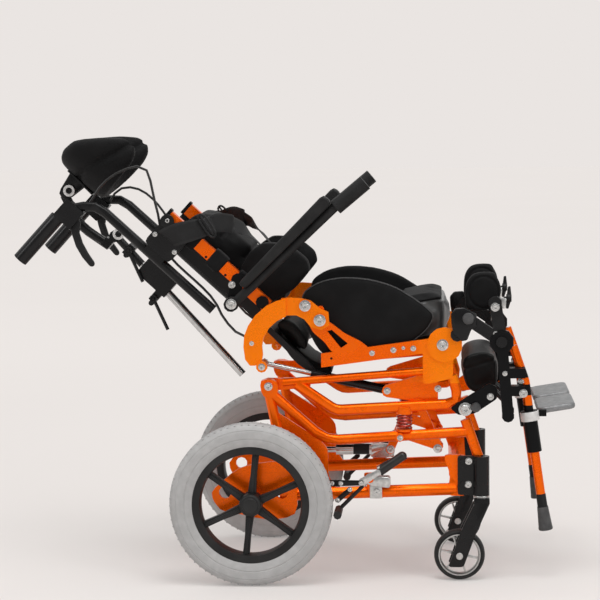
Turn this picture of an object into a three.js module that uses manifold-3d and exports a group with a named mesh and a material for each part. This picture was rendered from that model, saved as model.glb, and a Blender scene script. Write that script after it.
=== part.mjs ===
// Tilt in space wheelchair for a child, in millimetres, +Z up.
// The chair faces +X. x is measured from the rear axle, z from the floor and y from the middle plane.
// The right side is at negative y. The group is moved at the end so that the origin lies on the floor,
// under the middle of the chair.
import * as THREE from 'three';
import { mergeVertices } from 'three/addons/utils/BufferGeometryUtils.js';
import Module from 'manifold-3d';

const wasm = await Module();
wasm.setup();

// Driving dimensions
const rearWheelRadius = 157.5;
const rearTyreWidth = 48;
const rearWheelOffset = 230;
const casterRadius = 50;
const casterWidth = 24;
const casterOffset = 175;
const casterAxleX = 397;
const hingeX = 31;
const hingeZ = 375;
const frameOffset = 162;
const reclineX = 132;
const reclineZ = 504;
const kneeX = 478;
const kneeZ = 462;
const crankX = 283;
const crankZ = 276;
const crankTipX = 357;
const crankTipZ = 251;
const liftX = 318;
const liftZ = 338;
const seatRearX = 140;
const seatRearZ = 425;
const seatLength = 240;
const gap = 0.3;
const overrun = 2;
const weld = 0.001;
const slack = 0.05;
const smallRadius = 10;

// Angles, degrees
const backAngle = 42.5;
const seatAngle = 7.9;
const spokeTurn = 24;

// Counts
const right = -1;
const left = 1;
const boltSides = 8;
const roundSides = 10;
const tubeSides = 8;
const bendSteps = 2;
const tyreSteps = 28;
const casterSteps = 16;

const degrees = Math.PI / 180;

// Finishes
function finish(color, roughness, metalness) {
  return { color, roughness, metalness };
}
const orange = finish(0xe86a10, 0.3, 0.6);
const black = finish(0x1a1a1b, 0.5, 0.1);
const rubber = finish(0x151515, 0.8, 0);
const greyTyre = finish(0xa9a9a8, 0.85, 0);
const silver = finish(0xc4c6c8, 0.3, 0.9);
const fabric = finish(0x141416, 0.95, 0);
const redSpring = finish(0x8c1c10, 0.4, 0.5);
const greyPlate = finish(0x8b8d8f, 0.6, 0.2);

// A geometry with its shared corners joined and its faces turned out
function closed(geometry) {
  const bare = geometry.index ? geometry.toNonIndexed() : geometry.clone();
  bare.deleteAttribute('normal');
  bare.deleteAttribute('uv');
  const joined = mergeVertices(bare, weld);
  const corners = joined.index.array;
  const place = joined.getAttribute('position');
  const kept = [];
  let volume = 0;
  const [a, b, c] = [new THREE.Vector3(), new THREE.Vector3(), new THREE.Vector3()];
  for (let i = 0; i < corners.length; i += 3) {
    const [p, q, r] = [corners[i], corners[i + 1], corners[i + 2]];
    if (p === q || q === r || r === p) {
      continue;
    }
    a.fromBufferAttribute(place, p);
    b.fromBufferAttribute(place, q);
    c.fromBufferAttribute(place, r);
    volume += a.dot(b.cross(c));
    kept.push(p, q, r);
  }
  if (volume < 0) {
    kept.reverse();
  }
  joined.setIndex(kept);
  return joined;
}

function solid(geometry) {
  const ready = closed(geometry);
  const vertProperties = new Float32Array(ready.getAttribute('position').array);
  const triVerts = new Uint32Array(ready.index.array);
  return new wasm.Manifold(new wasm.Mesh({ numProp: 3, vertProperties, triVerts }));
}

function join(...parts) {
  return parts.flat().reduce((whole, part) => whole.add(part));
}

function cut(whole, ...tools) {
  return tools.flat().reduce((rest, tool) => rest.subtract(tool), whole);
}

function geometryOf(body) {
  const mesh = body.asOriginal().simplify(slack).getMesh();
  const geometry = new THREE.BufferGeometry();
  const places = new Float32Array(mesh.vertProperties);
  geometry.setAttribute('position', new THREE.BufferAttribute(places, mesh.numProp));
  geometry.setIndex(Array.from(mesh.triVerts));
  geometry.computeVertexNormals();
  return geometry;
}

function at(x, z, y = 0) {
  return new THREE.Vector3(x, y, z);
}

// The points of an outline, from shares of a reach measured from a start
function spread(shares, reach, startX = 0, startZ = 0, tall = reach) {
  return shares.map(([x, z]) => [startX + x * reach, startZ + z * tall]);
}

function outline(points, corner) {
  if (corner === 0) {
    return new THREE.Shape(points.map((point) => new THREE.Vector2(...point)));
  }
  const shape = new THREE.Shape();
  points.forEach((point, i) => {
    const here = new THREE.Vector2(...point);
    const before = new THREE.Vector2(...points[(i + points.length - 1) % points.length]);
    const after = new THREE.Vector2(...points[(i + 1) % points.length]);
    const reach = Math.min(corner, here.distanceTo(before) / 2.1, here.distanceTo(after) / 2.1);
    const start = here.clone().add(before.sub(here).setLength(reach));
    const end = here.clone().add(after.sub(here).setLength(reach));
    if (i === 0) {
      shape.moveTo(start.x, start.y);
    } else {
      shape.lineTo(start.x, start.y);
    }
    shape.quadraticCurveTo(here.x, here.y, end.x, end.y);
  });
  shape.closePath();
  return shape;
}

// A flat plate in the side plane, centred on y
function plate(points, corner, y, thickness, curveSegments = 2) {
  const depth = thickness;
  const geometry = new THREE.ExtrudeGeometry(outline(points, corner), { depth, bevelEnabled: false,
    curveSegments });
  geometry.rotateX(Math.PI / 2);
  geometry.translate(0, y + thickness / 2, 0);
  return solid(geometry);
}

// The corners of an outline moved inwards by a distance
function inset(points, distance) {
  const area = points.reduce((sum, [x, z], i) => {
    const [nextX, nextZ] = points[(i + 1) % points.length];
    return sum + x * nextZ - nextX * z;
  }, 0);
  return points.map((point, i) => {
    const here = new THREE.Vector2(...point);
    const before = points[(i + points.length - 1) % points.length];
    const came = here.clone().sub(new THREE.Vector2(...before)).normalize();
    const goes = new THREE.Vector2(...points[(i + 1) % points.length]).sub(here).normalize();
    const inward = new THREE.Vector2(-came.y - goes.y, came.x + goes.x).normalize();
    const slant = Math.max(inward.dot(new THREE.Vector2(-goes.y, goes.x)), 0.5);
    here.addScaledVector(inward, (Math.sign(area) * distance) / slant);
    return [here.x, here.y];
  });
}

// A padded slab in the side plane with rounded rims
function slab(points, corner, y, thickness, rim) {
  const depth = thickness - 2 * rim;
  const shape = outline(inset(points, rim), corner);
  const settings = { depth, bevelThickness: rim, bevelSize: rim, bevelSegments: 2, curveSegments: 2 };
  const geometry = new THREE.ExtrudeGeometry(shape, settings);
  geometry.rotateX(Math.PI / 2);
  geometry.translate(0, y + depth / 2, 0);
  return solid(geometry);
}

// Small round pieces take fewer sides
function sidesFor(radius) {
  return radius < smallRadius ? boltSides : roundSides;
}

// A straight round pin across the chair
function pin(x, z, yA, yB, radius, sides = sidesFor(radius)) {
  const geometry = new THREE.CylinderGeometry(radius, radius, Math.abs(yB - yA), sides);
  geometry.translate(x, (yA + yB) / 2, z);
  return solid(geometry);
}

// An upright round post
function post(x, y, zA, zB, radius, sides = sidesFor(radius)) {
  const geometry = new THREE.CylinderGeometry(radius, radius, Math.abs(zB - zA), sides);
  geometry.rotateX(Math.PI / 2);
  geometry.translate(x, y, (zA + zB) / 2);
  return solid(geometry);
}

// The radius of a faceted bore whose flats clear a round piece as it turns
function boreRadius(radius) {
  return (radius + gap) / Math.cos(Math.PI / sidesFor(radius));
}

// The room for a pin across the chair, and for an upright post
function bore(x, z, yA, yB, radius) {
  return pin(x, z, yA, yB, boreRadius(radius), sidesFor(radius));
}

function boreUp(x, y, zA, zB, radius) {
  return post(x, y, zA, zB, boreRadius(radius), sidesFor(radius));
}

function block(xA, xB, yA, yB, zA, zB) {
  const geometry = new THREE.BoxGeometry(Math.abs(xB - xA), Math.abs(yB - yA), Math.abs(zB - zA));
  geometry.translate((xA + xB) / 2, (yA + yB) / 2, (zA + zB) / 2);
  return solid(geometry);
}

// A route through stations, one tube ring at each
class Route extends THREE.Curve {
  constructor(stations) {
    super();
    this.stations = stations;
  }

  getPoint(share) {
    const last = this.stations.length - 1;
    const i = Math.min(Math.floor(share * last), last - 1);
    return this.stations[i].clone().lerp(this.stations[i + 1], share * last - i);
  }

  getPointAt(share) {
    return this.getPoint(share);
  }

  getTangentAt(share) {
    const last = this.stations.length - 1;
    const i = Math.round(share * last);
    const here = this.stations[i];
    const came = here.clone().sub(this.stations[Math.max(i - 1, 0)]).normalize();
    const goes = this.stations[Math.min(i + 1, last)].clone().sub(here).normalize();
    return came.add(goes).normalize();
  }
}

function sweep(stations, radius, sides) {
  const section = [];
  for (let i = 0; i < sides; i += 1) {
    const turn = (2 * Math.PI * (i + 0.5)) / sides;
    section.push(new THREE.Vector2(radius * Math.cos(turn), radius * Math.sin(turn)));
  }
  const extrudePath = new Route(stations);
  const steps = stations.length - 1;
  return solid(new THREE.ExtrudeGeometry(new THREE.Shape(section), { extrudePath, steps,
    bevelEnabled: false }));
}

// A tube through points, with its inner corners bent to a radius
function tube(points, radius, bend = 0, sides = tubeSides) {
  const stations = [points[0]];
  for (let i = 1; i < points.length - 1; i += 1) {
    const here = points[i];
    const back = points[i - 1].clone().sub(here);
    const ahead = points[i + 1].clone().sub(here);
    const turn = Math.PI - back.angleTo(ahead);
    const room = Math.min(back.length(), ahead.length()) * 0.48;
    const reach = Math.min(bend * Math.tan(turn / 2), room);
    const start = here.clone().add(back.setLength(reach));
    const end = here.clone().add(ahead.setLength(reach));
    const corner = new THREE.QuadraticBezierCurve3(start, here, end);
    stations.push(...corner.getPoints(bendSteps));
  }
  stations.push(points[points.length - 1]);
  return sweep(stations, radius, sides);
}

// A closed form of an upper and a lower sheet that meet along their rim
function pad(rows, columns, upper, lower) {
  const corners = [];
  const faces = [];
  const spot = (i, j, side) => {
    const u = Math.sin((Math.PI / 2) * ((2 * i) / rows - 1));
    const v = Math.sin((Math.PI / 2) * ((2 * j) / columns - 1));
    const rim = i === 0 || j === 0 || i === rows || j === columns;
    return rim || side > 0 ? upper(u, v) : lower(u, v);
  };
  for (let i = 0; i < rows; i += 1) {
    for (let j = 0; j < columns; j += 1) {
      for (const side of [1, -1]) {
        const [a, b, c, d] = [
          spot(i, j, side), spot(i + 1, j, side), spot(i + 1, j + 1, side), spot(i, j + 1, side),
        ];
        const order = side > 0 ? [a, b, c, a, c, d] : [a, c, b, a, d, c];
        order.forEach((corner) => {
          faces.push(corners.length / 3);
          corners.push(corner.x, corner.y, corner.z);
        });
      }
    }
  }
  const geometry = new THREE.BufferGeometry();
  geometry.setAttribute('position', new THREE.Float32BufferAttribute(corners, 3));
  geometry.setIndex(faces);
  return solid(geometry);
}

// How full a padded form is, from 0 at its rim to 1 inside
function fullness(u, v) {
  return Math.max(1 - u ** 8, 0) ** 0.3 * Math.max(1 - v ** 8, 0) ** 0.3;
}

// How deep the sewn channels are at u, from shares of the half length
function sewn(u, channelShares, widthShare) {
  return Math.max(...channelShares.map((c) => Math.exp(-(((u - c) / widthShare) ** 2))), 0);
}

// A cushion lying in x and y, with a crown, drawn-in sides and sewn channels
function cushion(size) {
  const { length, width, height, crown, pull, channelDepth, channelShares, rows, columns } = size;
  const place = (u, v, face) => {
    const x = (length / 2) * u - pull * u * Math.abs(u) * (1 - v * v);
    const y = (width / 2) * v - pull * v * Math.abs(v) * (1 - u * u);
    const swell = crown * (1 - u * u) * (1 - v * v);
    const groove = face > 0 ? channelDepth * sewn(u, channelShares, 0.08) : 0;
    return at(x, face * ((height / 2) * fullness(u, v)) + (face > 0 ? swell - groove * fullness(u, v) : 0),
      y);
  };
  return pad(rows, columns, (u, v) => place(u, v, 1), (u, v) => place(u, v, -1));
}

// The chair and the groups that its pieces are drawn in
const chair = new THREE.Group();
const seatFrame = new THREE.Group();
seatFrame.position.set(seatRearX, 0, seatRearZ);
seatFrame.rotation.y = -seatAngle * degrees;
chair.add(seatFrame);
const backFrame = new THREE.Group();
backFrame.position.set(reclineX, 0, reclineZ);
backFrame.rotation.y = -(90 - backAngle) * degrees;
chair.add(backFrame);

function piece(name, body, look, group = chair) {
  const mesh = new THREE.Mesh(geometryOf(body), new THREE.MeshStandardMaterial(look));
  mesh.name = name;
  group.add(mesh);
  return mesh;
}

function sideName(side) {
  return side === right ? 'right' : 'left';
}

// The rear axle is low enough for a flat of the faceted tyre to lie on the floor
const rearAxleZ = rearWheelRadius * Math.cos(Math.PI / tyreSteps);
const casterAxleZ = casterRadius * Math.cos(Math.PI / casterSteps);

// Rear wheels: a grey tyre on a black rim with six spokes
const rearRimRadius = 112;
const rimWell = 15;
const rimWidth = 38;
const rimLip = 5;
const hubRadius = 22;
const hubWidth = 46;
const hubCapRadius = 15;
const hubCapRise = 5;
const axleRadius = 8;
const spokeCount = 6;
const spokeWidth = 17;
const spokeDepth = 12;
const tyreShoulder = 12;

// A ring turned about the wheel axle, with a flat at the bottom
function turned(profile, steps) {
  const points = profile.map(([radius, y]) => new THREE.Vector2(radius, y));
  return solid(new THREE.LatheGeometry(points, steps, Math.PI / steps));
}

function rearTyre() {
  const half = rearTyreWidth / 2;
  const inner = rearRimRadius + gap;
  const profile = [
    [inner, -rimWidth / 2], [inner + tyreShoulder, -half], [rearWheelRadius - tyreShoulder, -half],
    [rearWheelRadius, -half + tyreShoulder], [rearWheelRadius, half - tyreShoulder],
    [rearWheelRadius - tyreShoulder, half], [inner + tyreShoulder, half], [inner, rimWidth / 2],
    [inner, -rimWidth / 2],
  ];
  return turned(profile, tyreSteps);
}

function rearWheel() {
  const half = rimWidth / 2;
  const inner = rearRimRadius - rimWell;
  const rim = turned([
    [inner, -half + rimLip], [rearRimRadius, -half], [rearRimRadius, half], [inner, half - rimLip],
    [inner, -half + rimLip],
  ], tyreSteps);
  const hub = pin(0, 0, -hubWidth / 2, hubWidth / 2, hubRadius, tyreSteps / 2);
  const cap = pin(0, 0, -hubWidth / 2 - hubCapRise, hubWidth / 2 + hubCapRise, hubCapRadius);
  const spokes = [];
  for (let i = 0; i < spokeCount; i += 1) {
    const turn = (spokeTurn + (360 * i) / spokeCount) * degrees;
    const arm = new THREE.BoxGeometry(inner + rimLip - hubRadius / 2, spokeDepth, spokeWidth);
    arm.translate((inner + rimLip + hubRadius / 2) / 2, 0, 0);
    arm.rotateY(-turn);
    spokes.push(solid(arm));
  }
  const hole = bore(0, 0, -hubWidth, hubWidth, axleRadius);
  return cut(join(rim, hub, cap, spokes), hole);
}

for (const side of [right, left]) {
  const tyre = piece(`rear_tyre_${sideName(side)}`, rearTyre(), greyTyre);
  tyre.position.set(0, side * rearWheelOffset, rearAxleZ);
  const wheel = piece(`rear_wheel_${sideName(side)}`, rearWheel(), black);
  wheel.position.set(0, side * rearWheelOffset, rearAxleZ);
}

// Base sides: two bent tubes, uprights, a gusset and axle plate, the hinge bracket and the caster plate
const baseUpperRadius = 10.5;
const baseLowerRadius = 12;
const baseBend = 60;
const upperBendX = 150;
const upperBendZ = 268;
const upperFrontX = 412;
const upperFrontZ = 285;
const lowerRearX = 50;
const lowerRearZ = 161;
const lowerFrontX = 392;
const lowerFrontZ = 174;
const uprightTopX = 409;
const uprightTopZ = 309;
const uprightFootX = 434;
const uprightFootZ = 236;
const rearCrossX = 60;
const rearCrossZ = 224;
const hingePinRadius = 6;
const bracketWidth = 36;
const bracketHeight = 38;
const bracketDepth = 22;
const gussetThickness = 6;
const gussetReach = 200;
const gussetShares = [[0.05, 0.83], [0.55, 0.5], [0.62, 0.42], [0.62, 0.14], [0.73, -0.02], [0.2, -0.02],
  [0.1, 0.4]];
const axlePlateThickness = 8;
const axlePlateReach = 85;
const axlePlateShares = [
  [-1, 0.15], [-0.75, 0.35], [-0.35, 0.72], [0.4, 0.86], [1, 0.86], [1, -0.4], [0.3, -0.5], [-0.3, -0.35],
  [-0.8, -0.3],
];
const axlePlateHoleRadius = 12;
const casterPlateThickness = 10;
const casterPlateReach = 80;
const casterPlateShares = [[-0.3, 0.5], [0.25, 0.5], [0.3, -0.5], [-0.22, -0.5], [-0.12, 0]];
const casterPlateX = 390;
const casterPlateZ = 201;
const barrelRadius = 15.5;
const stemX = 439.7;
const barrelBottom = 164;
const barrelTop = 240;
const shaftPinRadius = 6;
const crossBossRadius = 14;
const crossBossDepth = 4;
const bumperX = 292;
const bumperCupRadius = 16;
const bumperCupRise = 3;

// The height of the upper base tube's axis at x
function upperTubeZ(x) {
  return upperBendZ + ((x - upperBendX) / (upperFrontX - upperBendX)) * (upperFrontZ - upperBendZ);
}

// The front cross tube is welded to the right side and ends short of the left one
const crossRadius = 11;
const frontCrossX = 388;
const frontCrossZ = 203;

function frontCrossTube() {
  const inner = casterPlateY - casterPlateThickness / 2;
  return pin(frontCrossX, frontCrossZ, right * (inner + overrun), left * (inner - gap), crossRadius);
}

const plateY = frameOffset + baseLowerRadius;
const casterPlateY = frameOffset;
const lockX = 226;
const lockZ = 197;
const lockBlockWidth = 26;
const lockBlockDepth = 8;
const lockPinRadius = 5;
const lockClampZ = 170;

function baseSide(side) {
  const y = side * frameOffset;
  const upper = tube([
    at(hingeX + bracketWidth / 4, hingeZ - bracketHeight / 2, y), at(upperBendX - baseUpperRadius,
      upperBendZ, y),
    at(upperFrontX, upperFrontZ, y),
  ], baseUpperRadius, baseBend);
  const lower = tube([at(lowerRearX, lowerRearZ, y), at(lowerFrontX, lowerFrontZ, y)], baseLowerRadius);
  const front = tube([at(uprightTopX, uprightTopZ, y), at(uprightFootX, uprightFootZ, y)], baseUpperRadius);
  const rear = tube([
    at(hingeX, hingeZ - bracketHeight / 3, y), at(rearCrossX, rearCrossZ, y), at(lowerRearX, lowerRearZ, y),
  ], baseUpperRadius, baseBend);
  const bracket = plate([
    [hingeX - bracketWidth / 2, hingeZ + bracketHeight / 3], [hingeX + bracketWidth / 2,
      hingeZ + bracketHeight / 3],
    [hingeX + bracketWidth / 2, hingeZ - bracketHeight * 0.6], [hingeX - bracketWidth / 3,
    hingeZ - bracketHeight * 0.6],
  ], bracketWidth / 3, y, bracketDepth);
  const hinge = join(
    pin(hingeX, hingeZ, side * (frameOffset - bracketDepth / 2 - lugDepth - gap - lugClear), y,
    hingePinRadius),
    pin(hingeX, hingeZ, side * (frameOffset - bracketDepth / 2 - lugDepth - lugClear - gap),
      side * (frameOffset - bracketDepth / 2 - lugDepth - lugClear - gap - boltHead),
      hingePinRadius + boltHead),
    pin(hingeX, hingeZ, y, side * (frameOffset + bracketDepth / 2 + boltHead),
    hingePinRadius + boltHead / 2),
  );
  const gusset = plate(spread(gussetShares, gussetReach, hingeX - baseUpperRadius,
    rearAxleZ + baseLowerRadius),
    baseLowerRadius, y, gussetThickness);
  const axlePlate = plate(spread(axlePlateShares, axlePlateReach, 0, rearAxleZ), axlePlateReach / 4,
    side * plateY, axlePlateThickness);
  const holes = [-0.65, 0.65].map((share) => pin(share * axlePlateReach, rearAxleZ + axlePlateHoleRadius,
    side * (plateY - axlePlateThickness), side * (plateY + axlePlateThickness), axlePlateHoleRadius));
  const axle = pin(0, rearAxleZ, side * plateY, side * (rearWheelOffset + hubWidth / 2), axleRadius);
  const collar = pin(0, rearAxleZ, side * plateY,
    side * (rearWheelOffset - hubWidth / 2 - hubCapRise - gap),
    hubCapRadius);
  const casterPlate = plate(spread(casterPlateShares, casterPlateReach, casterPlateX, casterPlateZ),
    baseUpperRadius, side * casterPlateY, casterPlateThickness);
  const crossBoss = pin(rearCrossX, rearCrossZ, side * (frameOffset - baseUpperRadius - crossBossDepth), y,
    crossBossRadius);
  const shaftHole = bore(crankX, crankZ, side * (frameOffset - baseLowerRadius),
    side * (frameOffset + baseLowerRadius),
    shaftPinRadius);
  const cup = post(bumperX, y, upperTubeZ(bumperX) + baseUpperRadius * 0.85,
    upperTubeZ(bumperX) + baseUpperRadius + bumperCupRise, bumperCupRadius);
  const lockBlock = plate([
    [lockX - lockBlockWidth / 2, lockZ + lockPinRadius * 2], [lockX + lockBlockWidth / 2,
      lockZ + lockPinRadius * 2],
    [lockX + lockBlockWidth, lockClampZ - baseLowerRadius], [lockX, lockClampZ - baseLowerRadius],
  ], lockPinRadius, side * (frameOffset + baseLowerRadius), lockBlockDepth);
  const lockPin = join(
    pin(lockX, lockZ, side * (frameOffset + baseLowerRadius),
    side * (lockLeverY + lockLeverDepth / 2 + gap),
      lockPinRadius),
    pin(lockX, lockZ, side * (lockLeverY + lockLeverDepth / 2 + gap),
      side * (lockLeverY + lockLeverDepth / 2 + gap + boltHead), lockPinRadius + boltHead / 2),
  );
  const stemRoom = block(uprightFootX - casterPlateReach / 2, stemX + barrelRadius * 2,
    y - casterPlateReach / 2,
    y + casterPlateReach / 2, barrelTop + gap, barrelTop - casterPlateReach / 2);
  const frame = join(upper, lower, rear, bracket, axlePlate, gusset, crossBoss, cup, lockBlock);
  const whole = cut(join(cut(frame, holes), cut(front, stemRoom), casterPlate, hinge, axle, collar,
    lockPin), shaftHole);
  return side === right ? join(whole, frontCrossTube()) : whole;
}

// Lug sizes shared by the base bracket and the seat frame's hinge lug
const lugDepth = 10;
const lugClear = 0.6;
const boltHead = 4;
const lockLeverY = 186;
const lockLeverDepth = 8;

for (const side of [right, left]) {
  piece(`base_side_${sideName(side)}`, baseSide(side), orange);
}

// The rear cross tube carries the clevis for the rod of the tilt gas spring
const tiltRodRadius = 6;
const tiltPivotX = 84;
const tiltPivotZ = 224;
const tiltLugX = 261;
const tiltLugZ = 226;
const tiltRodEnd = 217;
const clevisDepth = 6;
const clevisRadius = 11;
const tiltEyeDepth = 14;
const tiltEyeRadius = 9;
const tiltPinRadius = 4;

const rearCrossReach = frameOffset - baseUpperRadius - crossBossDepth - gap;
const clevisPlates = [right, left].map((side) => arm(rearCrossX, rearCrossZ, tiltPivotX, tiltPivotZ,
  clevisRadius,
  side * (tiltEyeDepth / 2 + gap + clevisDepth / 2), clevisDepth));
const clevisReach = tiltEyeDepth / 2 + gap + clevisDepth;
const rearCross = join(
  cut(pin(rearCrossX, rearCrossZ, -rearCrossReach, rearCrossReach, crossRadius),
    block(rearCrossX + crossRadius / 2, tiltPivotX, -tiltEyeDepth / 2 - gap, tiltEyeDepth / 2 + gap,
      rearCrossZ - crossRadius, rearCrossZ + crossRadius)),
  clevisPlates,
  pin(tiltPivotX, tiltPivotZ, -clevisReach, clevisReach, tiltPinRadius),
);
piece('base_cross_tube_rear', rearCross, orange);

// The rod of the tilt gas spring turns on the clevis pin
function tiltSpringRod() {
  const eye = pin(tiltPivotX, tiltPivotZ, -tiltEyeDepth / 2, tiltEyeDepth / 2, tiltEyeRadius);
  const rise = ((tiltLugZ - tiltPivotZ) * (tiltRodEnd - tiltPivotX)) / (tiltLugX - tiltPivotX);
  const rod = tube([at(tiltPivotX + tiltEyeRadius / 2, tiltPivotZ), at(tiltRodEnd, tiltPivotZ + rise)],
    tiltRodRadius);
  return cut(join(eye, rod), bore(tiltPivotX, tiltPivotZ, -tiltEyeDepth, tiltEyeDepth, tiltPinRadius));
}
piece('tilt_spring_rod', tiltSpringRod(), silver);

// Caster housings: a black plate bolted to the base side, with the stem's barrel
const housingPlateDepth = 9;
const housingPlateRear = 394;
const housingBolt = 5;
const stemRadius = 7;

function casterHousing(side) {
  const inner = casterPlateY + casterPlateThickness / 2 + gap;
  const mid = side * (inner + housingPlateDepth / 2);
  const reach = [housingPlateRear, stemX];
  const face = plate([
    [reach[0], barrelBottom], [reach[1], barrelBottom], [reach[1], barrelTop], [reach[0], barrelTop],
  ], housingBolt, mid, housingPlateDepth);
  const barrel = post(stemX, side * casterOffset, barrelBottom, barrelTop, barrelRadius, tyreSteps / 2);
  const bolts = [0.3, 0.87].map((share) => pin(
    (housingPlateRear + stemX - barrelRadius) / 2 - housingBolt,
    barrelBottom + share * (barrelTop - barrelBottom), mid,
    side * (inner + housingPlateDepth + boltHead), housingBolt));
  const hole = boreUp(stemX, side * casterOffset, barrelBottom - overrun, barrelTop + overrun, stemRadius);
  return cut(join(face, barrel, bolts), hole);
}

// Caster forks: a stem, a crown and two blades that trail back to the axle
const bladeThickness = 5;
const crownDrop = 8;
const casterAxleRadius = 4;
const washerRadius = 13;
const bladeReach = 130;
const bladeShares = [
  [0.19, 0], [-0.12, 0], [-0.13, -0.14], [-0.3, -0.45], [-0.5, -0.83], [-0.45, -0.98], [-0.27, -0.96],
  [0.06, -0.42], [0.19, -0.2],
];

function casterFork(side) {
  const y = side * casterOffset;
  const crownZ = barrelBottom - washerRadius / 2;
  const inner = casterWidth / 2 + 1;
  const blades = [-1, 1].map((hand) => plate(
    spread(bladeShares, bladeReach, stemX - casterAxleRadius, crownZ), casterAxleRadius,
    y + hand * (inner + bladeThickness / 2),
    bladeThickness));
  const crown = block(stemX - washerRadius * 1.4, stemX + washerRadius * 1.2, y - inner - bladeThickness,
    y + inner + bladeThickness, crownZ - crownDrop, crownZ);
  const washer = post(stemX, y, crownZ - overrun, barrelBottom - gap, washerRadius);
  const stem = post(stemX, y, crownZ - overrun, barrelTop - overrun, stemRadius);
  const reach = inner + bladeThickness + boltHead;
  const axle = pin(casterAxleX, casterAxleZ, y - reach, y + reach, casterAxleRadius, tubeSides);
  const heads = [-1, 1].map((hand) => pin(casterAxleX, casterAxleZ, y + hand * (inner + bladeThickness / 2),
    y + hand * reach, casterAxleRadius * 1.7, tubeSides));
  return join(blades, crown, washer, stem, axle, heads);
}

// Caster wheels: a black tyre on a spoked silver rim, as one solid
const casterRimRadius = 36;
const casterWell = 6;
const casterHubRadius = 9;
const casterSpokes = 6;
const casterSpokeWidth = 5;

function casterWheel() {
  const half = casterWidth / 2;
  const inner = casterRimRadius - casterWell;
  const ring = turned([
    [inner, -half * 0.7], [casterRimRadius, -half * 0.9], [casterRadius - half * 0.5, -half],
    [casterRadius, -half * 0.5], [casterRadius, half * 0.5], [casterRadius - half * 0.5, half],
    [casterRimRadius, half * 0.9], [inner, half * 0.7], [inner, -half * 0.7],
  ], casterSteps);
  const spokes = [];
  for (let i = 0; i < casterSpokes; i += 1) {
    const arm = new THREE.BoxGeometry(inner + casterWell / 2, casterSpokeWidth, casterSpokeWidth);
    arm.translate((inner + casterWell / 2) / 2 + casterAxleRadius / 2, 0, 0);
    arm.rotateY(((360 * (i + 0.5)) / casterSpokes) * degrees);
    spokes.push(solid(arm));
  }
  const hub = pin(0, 0, -half, half, casterHubRadius);
  return cut(join(ring, hub, spokes), bore(0, 0, -casterWidth, casterWidth, casterAxleRadius));
}

for (const side of [right, left]) {
  piece(`caster_housing_${sideName(side)}`, casterHousing(side), black);
  piece(`caster_fork_${sideName(side)}`, casterFork(side), black);
  const wheel = piece(`caster_wheel_${sideName(side)}`, casterWheel(), rubber);
  wheel.position.set(casterAxleX, side * casterOffset, casterAxleZ);
}

// Wheel locks: a lever with a grip and a shoe that presses on the tyre
const lockGripRadius = 8;
const lockArmRadius = 5.5;
const lockShoeRadius = 8;
const lockShoeX = 165.5;
const lockShoeZ = 137;
const lockGripStartX = 242;
const lockGripStartZ = 215;
const lockGripEndX = 294;
const lockGripEndZ = 243;

function lockLever(side) {
  const y = side * lockLeverY;
  const hub = pin(lockX, lockZ, y - lockLeverDepth / 2, y + lockLeverDepth / 2, lockArmRadius * 2);
  const arm = tube([at(lockX, lockZ, y), at(lockShoeX, lockShoeZ, y)], lockLeverDepth / 2);
  const strap = tube([at(lockX, lockZ, y), at(lockGripStartX + lockGripRadius,
    lockGripStartZ + lockArmRadius, y)],
    lockLeverDepth / 2);
  const grip = tube([at(lockGripStartX, lockGripStartZ, y), at(lockGripEndX, lockGripEndZ, y)],
    lockGripRadius);
  const shoe = pin(lockShoeX, lockShoeZ, y - side * lockArmRadius,
    side * (rearWheelOffset + rearTyreWidth / 3),
    lockShoeRadius);
  const hole = bore(lockX, lockZ, y - lockLeverDepth * 2, y + lockLeverDepth * 2, lockPinRadius);
  return cut(join(hub, arm, strap, grip, shoe), hole);
}

for (const side of [right, left]) {
  piece(`wheel_lock_lever_${sideName(side)}`, lockLever(side), silver);
}

// Seat sides: two tubes that meet at the front, a plate, the rail, the pivot plate and the knee plate
const seatUpperRadius = 8;
const seatLowerRadius = 11;
const seatUpperRearX = 58;
const seatUpperRearZ = 381;
const seatUpperFrontX = 350;
const seatUpperFrontZ = 404;
const seatLowerRearX = 84;
const seatLowerRearZ = 378;
const seatBendX = 160;
const seatBendZ = 327;
const seatLowerFrontX = 400;
const seatLowerFrontZ = 340;
const seatFrontTopX = 384;
const seatFrontTopZ = 394;
const railHeight = 27;
const railThickness = 8;
const railOffset = 172;
const supportWidth = 58;
const supportX = 328;
const noseRadius = 34;
const noseX = 370;
const noseZ = 455;
const pivotBossRadius = 17;
const pivotPinRadius = 7;
const riserReach = 110;
const riserFootShare = 0.62;
const riserTall = (reclineZ - seatRearZ - railHeight * 0.4) / riserFootShare;
const riserShares = [
  [0.13, -0.02], [0.05, 0.25], [-0.08, 0.22], [-0.17, 0.13], [-0.2, -0.08], [-0.13, -0.22], [0.08, -0.4],
  [0.18, -0.55], [0.3, -riserFootShare], [0.85, -0.5], [0.7, -0.38], [0.42, -0.24], [0.27, -0.12],
];
const riserWindowShares = [[0.12, -0.2], [0.2, -0.18], [0.48, -0.42], [0.36, -0.5]];
const strutX = 380;
const strutZ = 333;
const strutReach = 90;
const strutDepth = 7;
const strutShares = [[0, 0], [0.17, -0.15], [0.52, -0.12], [1, 0.2], [1, 0.46], [0.82, 0.52], [0.36, 0.24]];
const springLugX = 259;
const springLugZ = 362;
const springLugRadius = 10;
const springLugDepth = 6;
const liftBossRadius = 11;
const liftBarY = 126;
const liftBarDepth = 8;

function seatLowerZ(x) {
  return seatBendZ + ((x - seatBendX) / (seatLowerFrontX - seatBendX)) * (seatLowerFrontZ - seatBendZ);
}

function railZ(x) {
  return seatRearZ + (x - seatRearX) * Math.tan(seatAngle * degrees);
}

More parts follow.
